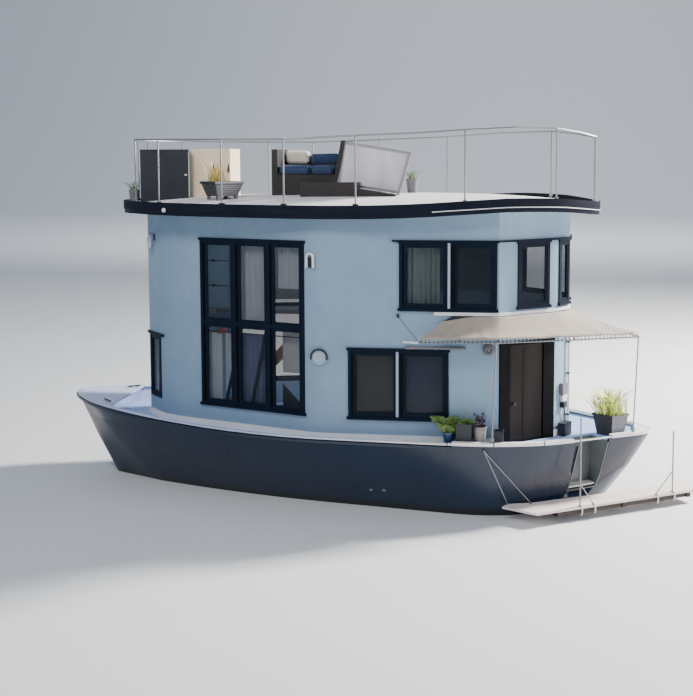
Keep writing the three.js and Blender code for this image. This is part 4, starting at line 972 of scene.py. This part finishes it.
# Spots are (place, turn) pairs, a patch is an outline to strew over; inputs are the tree's own
def repeatPart(name, shape, finish, spots=None, patch=None, **inputs):
    part = bpy.data.objects.new(name + "_part", bpy.data.meshes.new(name + "_part"))
    part.data.from_pydata([tuple(v) for v in shape[0]], [], shape[1])
    carrier = bpy.data.meshes.new(name)
    if patch:
        carrier.from_pydata([tuple(v) for v in patch], [], [tuple(range(len(patch)))])
    else:
        carrier.from_pydata([tuple(place) for place, turn in spots], [], [])
        turns = carrier.attributes.new("turn", "FLOAT_VECTOR", "POINT")
        turns.data.foreach_set("vector", [value for place, turn in spots for value in turn])
    holder = addObject(name, carrier)
    maker = holder.modifiers.new("repeats", "NODES")
    maker.node_group = repeats
    settings = {"Part": part, "Finish": finish, "Strewn": bool(patch), "Size": 1.0}
    settings.update(inputs)
    for item in repeats.interface.items_tree:
        if item.item_type == "SOCKET" and item.in_out == "INPUT" and item.name in settings:
            maker[item.identifier] = settings[item.name]
    plain = settle(holder)
    bpy.data.objects.remove(part)
    if not plain.materials:
        plain.materials.append(finish)
    plain.shade_smooth()
    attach(holder, "boat")


# Plants: each kind is one blade, frond or leaf, repeated from the soil
plants = {  # name: plants a square metre, seed, least and most lean, size, how much smaller some are
    "fern_fronds": (6200.0, 17, 0.45, -0.20, 1.0, 0.3),
    "box_fern": (1100.0, 9, 0.0, -0.8, 1.0, 0.4),
    "box_stems": (1300.0, 2, 0.0, -0.2, 0.9, 0.5),
    "purple_leaves": (0.0, 6, -0.3, -1.5, 1.0, 0.4),
    "purple_stems": (1500.0, 7, 0.0, -0.35, 0.9, 0.3),
    "aft_grass": (620.0, 3, 0.0, -0.60, 1.0, 0.45),
    "roof_grass": (700.0, 5, 0.0, -0.45, 1.0, 0.5),
    "roof_sprigs": (150.0, 8, 0.0, -1.1, 1.0, 0.4),
    "crown_pot_grass": (2400.0, 21, 0.0, -0.6, 1.0, 0.45),
    "fore_pot_grass": (2400.0, 22, 0.0, -0.6, 1.0, 0.45),
}
wholeTurn = 6.283


def growPlants(name, shape, finish, patch=None, spots=None):
    density, seed, leastLean, mostLean, size, change = plants[name]
    repeatPart(name, shape, finish, spots, patch, **{
        "Per Square Metre": density, "Seed": seed, "Least Lean": leastLean, "Most Lean": mostLean,
        "Spin": wholeTurn, "Size": size, "Size Change": change})


def bladeShape(length, width, droop, steps=7):
    verts, faces = [], []
    for i in range(steps + 1):
        f = i / steps
        y = droop * length * f ** 2.4
        z = length * (f - 0.22 * droop * f ** 3)
        w = width * (1 - f ** 2.2) * min(1, 0.5 + f * 3) / 2 + 0.0004
        verts += [Vector((-w, y, z)), Vector((0, y - w * 0.35, z - w * 0.2)), Vector((w, y, z))]
    for i in range(steps):
        for k in (0, 1):
            a = i * 3 + k
            faces.append((a, a + 1, a + 4, a + 3))
    return verts, faces


def frondShape(length, droop, pairs=13):
    verts, faces = [], []
    thick = length / pairs * 0.36
    for i in range(pairs + 1):
        f = (i + 0.3) / (pairs + 0.6)
        y = length * (0.35 * f + droop * f * f)
        z = length * (0.9 * f - 0.75 * droop * f ** 2.2)
        reach = length * 0.24 * math.sin(math.pi * min(1, 0.12 + f * 0.9)) + 0.004
        for way in (-1, 1):
            a = len(verts)
            verts += [Vector((0, y - thick, z - thick)), Vector((0, y + thick, z + thick)),
                      Vector((way * reach * 0.6, y + thick * 1.6, z + thick * 0.4)),
                      Vector((way * reach, y + thick * 2.2, z - reach * 0.25))]
            faces += [(a, a + 1, a + 2), (a, a + 2, a + 3)]
    return verts, faces


def leafShape(length, width):
    verts = [Vector((0, 0, 0)), Vector((-width / 2, 0.1 * length, length * 0.45)),
             Vector((0, 0.02 * length, length * 0.5)), Vector((width / 2, 0.1 * length, length * 0.45)),
             Vector((0, 0.3 * length, length))]
    return verts, [(0, 1, 2), (0, 2, 3), (1, 4, 2), (2, 4, 3)]


def disc(x, y, z, radius, n=12):
    turns = [2 * math.pi * k / n for k in range(n)]
    return [(x + radius * math.cos(a), y + radius * math.sin(a), z) for a in turns]


def potShape(x, y, low, high, foot, rim, wall=0.012, lip=0.02):  # turned pot with a lip, hollow to its soil
    profile = [(foot * 0.97, low), (foot, low + 0.01), (rim - 0.008, high - lip), (rim, high - lip),
               (rim, high), (rim - wall, high), (rim - wall - 0.004, high - 0.05)]
    return turnedShape(profile, (x, y, 0))


def planMiddle(corners):
    return Vector((sum(c[0] for c in corners) / 4, sum(c[1] for c in corners) / 4, 0))


# Tapered tub on a four-cornered plan, and the outline of its soil
def boxTub(corners, low, high, shrink, lip=0.04, wall=0.016):
    middle = planMiddle(corners)

    def ring(scale, z, out=0.0):
        made = []
        for c in corners:
            reach = Vector((c[0], c[1], 0)) - middle
            made.append(middle + reach * scale + reach.normalized() * out + Vector((0, 0, z)))
        return made

    rings = [ring(shrink, low), ring(1 - (1 - shrink) * 0.12, high - lip), ring(1, high - lip, 0.012),
             ring(1, high, 0.012), ring(1, high, -wall), ring(0.98, high - 0.06, -wall)]
    verts = [v for r in rings for v in r]
    faces = [(0, 1, 2, 3)] + rowFaces(len(rings), 4)
    faces.append(tuple(range(len(verts) - 4, len(verts))))
    return (verts, faces), [tuple(v) for v in ring(0.93, high - 0.055)]


def squarePlan(x, y, half):
    return [(x - half, y - half), (x + half, y - half), (x + half, y + half), (x - half, y + half)]


def paintedSunlitFace(piece, finish):  # painted light: the side that looks aft and to port gets the paler finish, for the sun that falls on it
    piece.data.materials.append(finish)
    for p in piece.data.polygons:
        if p.normal.dot(Vector((-0.7, 0.7, 0))) > 0.8:
            p.material_index = 1


# Heights on the roof deck, or nothing beside it
roofMesh = nodes["roof_deck"].data
roofSkin = BVHTree.FromPolygons([v.co for v in roofMesh.vertices], [p.vertices for p in roofMesh.polygons])


def roofTop(x, y, over=8.0):
    hit = roofSkin.ray_cast(Vector((x, y, over)), Vector((0, 0, -1)))[0]
    return hit.z if hit is not None else None


# The screen's sheet, and the woven skirt between its box and the roof
sheet = [(x, screen["sheetAt"], z) for x, z in screen["sheet"]]
vinylSheet = makePiece("vinyl_sheet", [prismShape(sheet, (0, screen["sheetThick"], 0))], vinyl)
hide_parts("screen_pane")
(foreX, foreZ), (aftX, aftZ) = screen["skirtFore"], screen["skirtAft"]
foreFoot, aftFoot = [roofTop(x, screen["skirtOn"]) + screen["skirtGap"] for x in (foreX, aftX)]
skirt = [(foreX, screen["skirtFrom"], foreFoot), (foreX, screen["skirtFrom"], foreZ),
         (aftX, screen["skirtFrom"], aftZ), (aftX, screen["skirtFrom"], aftFoot)]
makePiece("screen_skirt", [prismShape(skirt, (0, screen["skirtDeep"], 0))], wicker)

# A dark ring round the foot of each post of the rail; the feet are gathered from what lies near the deck
boots = {
    "nearDeck": 0.04,
    "apart": 0.2,
    "postReach": 0.09,
    "radius": 0.05,
    "thick": 0.016,
    "up": 0.02,
}
railVerts = nodes["roof_railing"].data.vertices
postFeet = []
for v in railVerts:
    deck = roofTop(v.co.x, v.co.y)
    if deck is None or v.co.z > deck + boots["nearDeck"]:
        continue
    if any((v.co.xy - foot).length < boots["apart"] for foot in postFeet):
        continue
    near = [w.co.xy for w in railVerts
            if (w.co.xy - v.co.xy).length < boots["postReach"] and w.co.z < deck + boots["nearDeck"]]
    postFeet.append(sum(near, Vector((0, 0))) / len(near))
shapes = []
for foot in postFeet:
    ring = disc(foot.x, foot.y, roofTop(*foot) + boots["up"], boots["radius"], 16)
    shapes.append(tubeShape(ring + [ring[0]], boots["thick"], 8, False))
makePiece("rail_boots", shapes, darkIron, smooth=True)
print("roof fittings made:", len(postFeet), "posts")

# Pots and tubs on the after side deck
deckZ = 1.381
deckPots = {  # name: place, foot and rim radius, height, soil's radius, finish
    "blue": ((-2.25, 1.845), 0.085, 0.13, 0.27, 0.112, potGlaze),
    "pale": ((-2.85, 1.855), 0.09, 0.13, 0.40, 0.108, paleClay),
}
for name, (at, foot, rim, height, soilRadius, finish) in deckPots.items():
    makePiece(name + "_deck_pot", [potShape(*at, deckZ, deckZ + height, foot, rim)], finish, smooth=True)
    z = deckZ + height - 0.045
    soilLine = [(soilRadius, z - 0.02), (soilRadius, z), (soilRadius * 0.4, z + 0.008)]
    makePiece(name + "_pot_soil", [turnedShape(soilLine, (*at, 0))], pottingSoil, smooth=True)
deckTubs = {  # name: place, half its side, height, how much it narrows, finish
    "black_deck_tub": ((-2.55, 1.86), 0.15, 0.46, 0.94, darkResin),
    "slate_deck_box": ((-3.20, 1.86), 0.085, 0.34, 0.96, laminate),
}
for name, (at, half, height, shrink, finish) in deckTubs.items():
    shape, soil = boxTub(squarePlan(*at, half), deckZ, deckZ + height, shrink)
    makePiece(name, [shape], finish, bevel=0.004)
x, y = deckTubs["black_deck_tub"][0]
tubSoil = boxShape((x - 0.13, y - 0.13, deckZ + 0.38), (x + 0.13, y + 0.13, deckZ + 0.405))
makePiece("tub_soil", [tubSoil], pottingSoil, bevel=0.006)
growPlants("box_fern", frondShape(0.30, 0.35), fernGreen, disc(x, y, deckZ + 0.41, 0.09))
growPlants("box_stems", bladeShape(0.72, 0.010, 0.10), fernGreen, disc(x - 0.02, y, deckZ + 0.41, 0.05))
x, y = deckPots["blue"][0]
growPlants("fern_fronds", frondShape(0.50, 0.30), fernGreen, disc(x, y, deckZ + 0.235, 0.06))
x, y = deckPots["pale"][0]
leaves = 70
leafSpots = []
for k in range(leaves):  # a spiral of leaves, at heights that skip about
    reach = 0.10 * (k / leaves) ** 0.5
    level = deckZ + 0.36 + 0.28 * ((k * 7) % leaves) / leaves
    leafSpots.append(((x + reach * math.cos(k * 2.4), y + reach * math.sin(k * 2.4), level), (0, 0, 0)))
growPlants("purple_leaves", leafShape(0.12, 0.06), purpleLeaf, spots=leafSpots)
growPlants("purple_stems", bladeShape(0.30, 0.008, 0.1), purpleLeaf, disc(x, y, deckZ + 0.35, 0.05))

# Tapered planter on the after deck, with lime grass and flax
aftPlan = [(-4.95, 0.43), (-5.33, 0.70), (-5.66, 0.38), (-5.30, 0.10)]
shape, soil = boxTub(aftPlan, deckZ, 1.80, 0.74)
# painted light: the planter's sunlit side gets the paler finish
paintedSunlitFace(makePiece("aft_planter", [shape], darkResin, bevel=0.004), greyResin)
makePiece("aft_planter_soil", [prismShape(soil, (0, 0, 0.012))], pottingSoil)
growPlants("aft_grass", bladeShape(0.80, 0.050, 0.34), limeGreen, soil)
flaxSpots = [  # place, then lean and heading
    ((-5.24, 0.42, 1.76), (-0.45, 0.0, 1.1)), ((-5.30, 0.36, 1.76), (-0.28, 0.0, 1.3)),
    ((-5.34, 0.44, 1.76), (-0.15, 0.0, -1.2)), ((-5.22, 0.38, 1.76), (-0.62, 0.0, 1.9))]
repeatPart("aft_flax", bladeShape(0.98, 0.050, 0.35), flaxLeaf, flaxSpots, Seed=12)

# The roof's planter: tapered, on four feet, with ribs moulded across its sunlit side, which is painted paler as
# painted light
roofTub = {
    "plan": [(2.42, 1.50), (2.85, 1.15), (2.40, 0.72), (1.96, 1.05)],
    "footHigh": 0.03,
    "footHalf": 0.03,
    "footAt": 0.60,
    "footTurn": 0.78,
    "rim": 6.392,
    "lip": 0.045,
    "shrink": 0.72,
    "ribs": 6,
    "ribRadius": 0.008,
    "grassAt": (2.66, 1.10),
}
plan = roofTub["plan"]
middle = planMiddle(plan)
base = max(roofTop(x, y) for x, y in plan) + 0.002
floorOfTub = base + roofTub["footHigh"]
shape, soil = boxTub(plan, floorOfTub, roofTub["rim"], roofTub["shrink"], roofTub["lip"])
shapes = [shape]
half = roofTub["footHalf"]
for corner in plan:
    at = middle.xy + (Vector(corner) - middle.xy) * roofTub["footAt"]
    shapes.append(boxShape((at.x - half, at.y - half, roofTop(*at) + 0.0005),
                           (at.x + half, at.y + half, floorOfTub + 0.004), roofTub["footTurn"]))
planter = makePiece("roof_planter_tub", shapes, darkResin, bevel=0.004)
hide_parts("roof_planter")
paintedSunlitFace(planter, greyResin)
ribs = []
for k in range(roofTub["ribs"]):
    f = (k + 0.7) / (roofTub["ribs"] + 1)
    level = floorOfTub + (roofTub["rim"] - roofTub["lip"] - floorOfTub) * f
    scale = roofTub["shrink"] + 0.245 * f
    a, b = [middle + (Vector((*plan[i], 0)) - middle) * scale for i in (0, 3)]
    ends = [a.lerp(b, share) for share in (0.06, 0.94)]
    ribs.append(tubeShape([(e.x, e.y, level) for e in ends], roofTub["ribRadius"], 6))
makePiece("roof_planter_ribs", ribs, greyResin, smooth=True)
makePiece("roof_planter_soil", [prismShape(soil, (0, 0, 0.012))], pottingSoil)
grassX, grassY = roofTub["grassAt"]
growPlants("roof_grass", bladeShape(0.66, 0.030, 0.18), wheatGrass,
           [((x + grassX) / 2, (y + grassY) / 2, z) for x, y, z in soil])
growPlants("roof_sprigs", frondShape(0.16, 0.3, 7), fernGreen, soil)
budStems = [((2.54, 1.14, 6.34), (-0.06, 0.0, -1.2)), ((2.27, 1.14, 6.34), (-0.06, 0.0, 1.4))]
repeatPart("roof_flower_stems", bladeShape(0.34, 0.020, 0.02), wheatGrass, budStems, Seed=13)
budLine = [(0.008, 0.22), (0.026, 0.25), (0.030, 0.30), (0.018, 0.37), (0.004, 0.41)]
repeatPart("roof_flower_heads", turnedShape(budLine, (0, 0, 0), sides=10), darkBud, budStems, Seed=13)

# Two small grey pots on the roof
roofPots = {  # name: place, rim radius, height
    "crown_pot": ((-1.30, 0.02), 0.13, 0.28),
    "fore_pot": ((4.46, 0.66), 0.12, 0.24),
}
for name, (at, radius, height) in roofPots.items():
    low = roofTop(*at) + 0.004
    top = low + height
    makePiece(name, [potShape(*at, low, top, radius * 0.72, radius)], greyResin, smooth=True)
    soilLine = [(radius - 0.02, top - 0.07), (radius - 0.02, top - 0.045), (0.05, top - 0.04)]
    makePiece(name + "_soil", [turnedShape(soilLine, (*at, 0))], pottingSoil, smooth=True)
    growPlants(name + "_grass", bladeShape(0.46, 0.015, 0.6), fernGreen, disc(*at, top - 0.045, radius * 0.6))
print("pots and plants made")

# Boxes on the walls and in the cabins: blinds, meter box, socket, deck box by the entrance, locker's latch
wallBoxes = {  # name: face, from, to, foot, head, inner and outer depth, finish, bevel
    "cabin_wall_board": ("fore", 1.88, 2.44, 2.58, 3.42, -0.30, -0.285, creamPaint, 0.003),
    "lower_pane_blind_fore": ("side", 0.46, 1.395, 1.80, 3.16, -0.16, -0.148, oliveBlind, 0.003),
    "lower_pane_blind_aft": ("side", 1.425, 2.37, 1.80, 3.16, -0.16, -0.148, violetBlind, 0.003),
    "cowl_light_core": ("fore", 2.655, 2.715, 4.74, 4.94, 0.001, 0.04, darkIron, 0.006),
    "meter_box": ("corner", 0.20, 0.40, 2.18, 2.40, 0.001, 0.08, greyResin, 0.008),
    "shore_socket": ("corner", 0.22, 0.40, 2.03, 2.15, 0.001, 0.07, creamPlastic, 0.008),
    "shore_socket_cover": ("corner", 0.23, 0.37, 1.91, 2.02, 0.001, 0.09, darkIron, 0.008),
    "entrance_deck_box": ("corner", 0.08, 0.36, 1.384, 1.62, 0.045, 0.20, laminate, 0.008),
    "entrance_deck_box_lid": ("corner", 0.07, 0.37, 1.621, 1.64, 0.040, 0.205, darkResin, 0.005),
    "locker_latch": ("locker", 0.90, 0.95, 6.50, 6.53, 0.001, 0.02, creamPlastic, 0.003),
    "locker_latch_tongue": ("locker", 0.915, 0.94, 6.44, 6.50, 0.001, 0.014, darkIron, 0.003),
}
for name, (face, s0, s1, z0, z1, d0, d1, finish, bevel) in wallBoxes.items():
    makePiece(name, [wallBox(face, s0, s1, z0, z1, d0, d1)], finish, bevel=bevel)
drainClips = [wallBox("corner", 0.475, 0.525, z, z + 0.03, 0.001, 0.066) for z in (1.72, 2.55, 3.18)]
makePiece("drain_clips", drainClips, darkIron, bevel=0.002)

# Tubes on the walls: a lamp's hood, a dark arc over the vent that is painted shade under its brow, the socket's
# conduit and the drain
hood = [(2.612, 4.74, 0.03)] + arc((2.685, 4.94), 0.072, 180, 0, 0.035, 8) + [(2.758, 4.74, 0.03)]
cable = [(0.31, 1.93, 0.045), (0.33, 1.84, 0.05), (0.37, 1.74, 0.045), (0.39, 1.60, 0.045),
         (0.39, 1.42, 0.045)]
drain = [(0.50, 3.36, 0.045), (0.50, 1.62, 0.045), (0.50, 1.56, 0.06)]
wallTubes = {  # name: face, points (along, up, out), radius, sides, finish
    "cowl_light_hood": ("fore", hood, 0.026, 10, creamPlastic),
    # painted shade: the dark arc over the vent stands for the shadow under its brow
    "round_vent_hood": ("side", arc((-0.12, 3.0), 0.158, 195, -15, 0.045), 0.02, 8, darkIron),
    "socket_conduit": ("corner", cable, 0.011, 8, darkIron),
    "drain_pipe": ("corner", drain, 0.017, 10, creamPlastic),
}
for name, (face, points, radius, sides, finish) in wallTubes.items():
    makePiece(name, [tubeShape(wallPath(face, points), radius, sides)], finish, smooth=True)


def wallDisc(face, s, z, profile):  # turned part standing out of a wall
    origin = onWall(face, s, z)
    return turnedShape(profile, origin, (onWall(face, s, z, 1.0) - origin).normalized())


# Round vent under a dark arc of painted shade for its brow, and the ribbed lamp aft of it
ventLine = [(0.15, 0.001), (0.152, 0.03), (0.128, 0.045), (0.118, 0.02), (0.05, 0.016)]
makePiece("round_vent", [wallDisc("side", -0.12, 3.0, ventLine)], ventPaint, smooth=True)
ribbedAt = (3.146, 3.214)
shapes = [tubeShape(wallPath("side", arc(ribbedAt, radius, 0, 360, out, 24)), 0.014, 8, False)
          for radius, out in ((0.105, 0.02), (0.088, 0.05), (0.062, 0.07))]
shapes.append(wallDisc("side", *ribbedAt, [(0.05, 0.001), (0.05, 0.05), (0.03, 0.07)]))
makePiece("wall_lamp", shapes, greyResin, smooth=True)

# Conduit over the lower window, on three clips
shapes = [tubeShape(wallPath("side", [(1.547, 3.222, 0.045), (2.709, 3.232, 0.045)]), 0.026, 12)]
shapes += [wallBox("side", s - 0.012, s + 0.012, 3.19, 3.265, 0.001, 0.05) for s in (1.66, 2.13, 2.60)]
makePiece("wall_conduit", shapes, greyResin, smooth=True)

# The awning's small parts: taut guy to the fore corner, tube end, and a dark sheet at its head that is painted
# shade
shapes = [tubeShape([onWall("side", 1.413, 3.834, 0.02), Vector((-1.70, 2.19, 3.43))], 0.005, 6),
          wallBox("side", 1.39, 1.436, 3.80, 3.87, 0.001, 0.03)]
makePiece("awning_guy", shapes, darkIron)
tubeEnd = [(-1.43, 2.262, 3.415), (-1.73, 2.230, 3.402)]
makePiece("awning_tube_end", [tubeShape(tubeEnd, 0.016, 10)], whiteEnamel, smooth=True)
# painted shade: a dark sheet where the canvas's top edge casts shadow on the wall
headShadeSheet = [(-2.04, 1.722, 3.70), (-2.32, 1.722, 3.853), (-2.70, 1.722, 3.853), (-2.62, 1.722, 3.80)]
makePiece("awning_head_board", [prismShape(headShadeSheet, (0, 0.008, 0))], darkIron)

# Lacing: a loop of cord every few centimetres round the tube and through the hem
lacing = {
    "loops": 54,
    "high": 0.042,
    "wide": 0.024,
    "thick": 0.006,
    "under": 0.074,
}
turns = [2 * math.pi * k / 14 for k in range(15)]
oval = [(0.0, lacing["wide"] * math.cos(a), lacing["high"] * math.sin(a)) for a in turns]
edges = [(Vector(a), Vector(b)) for a, b in zip(awning["edge"], awning["edge"][1:])]
total = sum((b - a).length for a, b in edges)
laceSpots = []
for a, b in edges:
    count = round(lacing["loops"] * (b - a).length / total)
    heading = math.atan2(b.y - a.y, b.x - a.x)
    for k in range(count):
        place = a.lerp(b, (k + 0.5) / count)
        laceSpots.append(((place.x, place.y, place.z - lacing["under"]), (0.0, 0.0, heading)))
repeatPart("awning_lacing", tubeShape(oval, lacing["thick"], 6, False), darkIron, laceSpots, **{
    "Seed": 15, "Least Lean": -0.5, "Most Lean": 0.5, "Size Change": 0.25})

# Lantern on the bow wall, on a bent arm and a plate
lanternAt = onWall("bow", 0.353, 5.15, 0.11)
lanternLine = [(0.02, -0.17), (0.045, -0.16), (0.058, 0.02), (0.066, 0.03), (0.03, 0.09), (0.012, 0.11)]
makePiece("bow_lantern", [turnedShape(lanternLine, lanternAt)], ventPaint, smooth=True)
armLine = wallPath("bow", [(0.353, 5.20, 0.001), (0.353, 5.30, 0.05)]) + [lanternAt + Vector((0, 0, 0.10))]
shapes = [tubeShape(armLine, 0.008), wallBox("bow", 0.32, 0.386, 5.13, 5.26, 0.001, 0.014)]
makePiece("bow_lantern_arm", shapes, darkIron, smooth=True)

# Light drip line where the two boards of the after roof edge meet, and the round light at the fore end
roofEdge = {
    "dripUpTo": -1.7,
    "boardHigh": (0.15, 0.2),
    "dripOver": 0.006,
    "dripRadius": 0.009,
    "turnAbout": -1.2,
    "lightAt": (3.463, 1.597, 5.828),
    "lightFacing": (0.32, 0.95, 0.0),
}
columns = {}
for v in nodes["roof_fascia"].data.vertices:
    columns.setdefault((round(v.co.x, 3), round(v.co.y, 3)), set()).add(round(v.co.z, 3))
least, most = roofEdge["boardHigh"]
drip = [(x, y, min(levels) + roofEdge["dripOver"]) for (x, y), levels in columns.items()
        if x < roofEdge["dripUpTo"] and least < max(levels) - min(levels) < most]
drip.sort(key=lambda p: math.atan2(p[1], roofEdge["turnAbout"] - p[0]), reverse=True)
makePiece("roof_drip_line", [tubeShape(drip, roofEdge["dripRadius"], 6)], whiteEnamel, smooth=True)
lightLine = [(0.045, 0.002), (0.045, 0.018), (0.032, 0.034), (0.015, 0.04)]
edgeLight = turnedShape(lightLine, roofEdge["lightAt"], roofEdge["lightFacing"])
makePiece("roof_edge_light", [edgeLight], creamPlastic, smooth=True)

# Two skin fittings low in the side
outletLine = [(0.020, -0.01), (0.034, -0.004), (0.034, 0.008), (0.022, 0.012), (0.014, 0.004)]
outletsAt = ((-0.729, 1.727, 0.401), (-0.991, 1.761, 0.415))
outlets = [turnedShape(outletLine, at, (0.07, 0.88, -0.46)) for at in outletsAt]
makePiece("hull_outlets", outlets, zinc, smooth=True)

# Screws in the boarding platform's planks, and the hooks that hold it at the stanchions
platform = {
    "corner": (-3.78, 1.83),
    "top": 0.2622,
    "screwRows": (0.42, 0.98, 1.90, 2.80, 3.45),
    "screwShift": (-0.02, 0.02),
    "screwAcross": (0.01, 0.06, 0.15, 0.21, 0.30, 0.375),
    "hooksAt": (0.90, 1.20, 3.08, 2.68),
    "hookLine": [(0.36, 0.276), (0.405, 0.276), (0.424, 0.262), (0.424, 0.13), (0.40, 0.108)],  # across, up
    "hookRadius": 0.012,
}


def platformPoint(s, d, z):  # aft along the platform, across it to port, and above the water
    (cx, cy), (ax, ay) = platform["corner"], platformAlong
    return Vector((cx - ax * s - ay * d, cy - ay * s + ax * d, z))


screwSpots = [(platformPoint(s + shift, d, platform["top"]), (0.0, 0.0, 0.0)) for s in platform["screwRows"]
              for d in platform["screwAcross"] for shift in platform["screwShift"]]
screwHead = turnedShape([(0.007, 0.0), (0.006, 0.0015), (0.002, 0.0022)], (0, 0, 0), sides=8)
repeatPart("platform_screws", screwHead, zinc, screwSpots, Seed=16)
hooks = [tubeShape([platformPoint(s, d, z) for d, z in platform["hookLine"]], platform["hookRadius"], 8)
         for s in platform["hooksAt"]]
makePiece("platform_hooks", hooks, whiteEnamel, smooth=True)
print("fittings made")
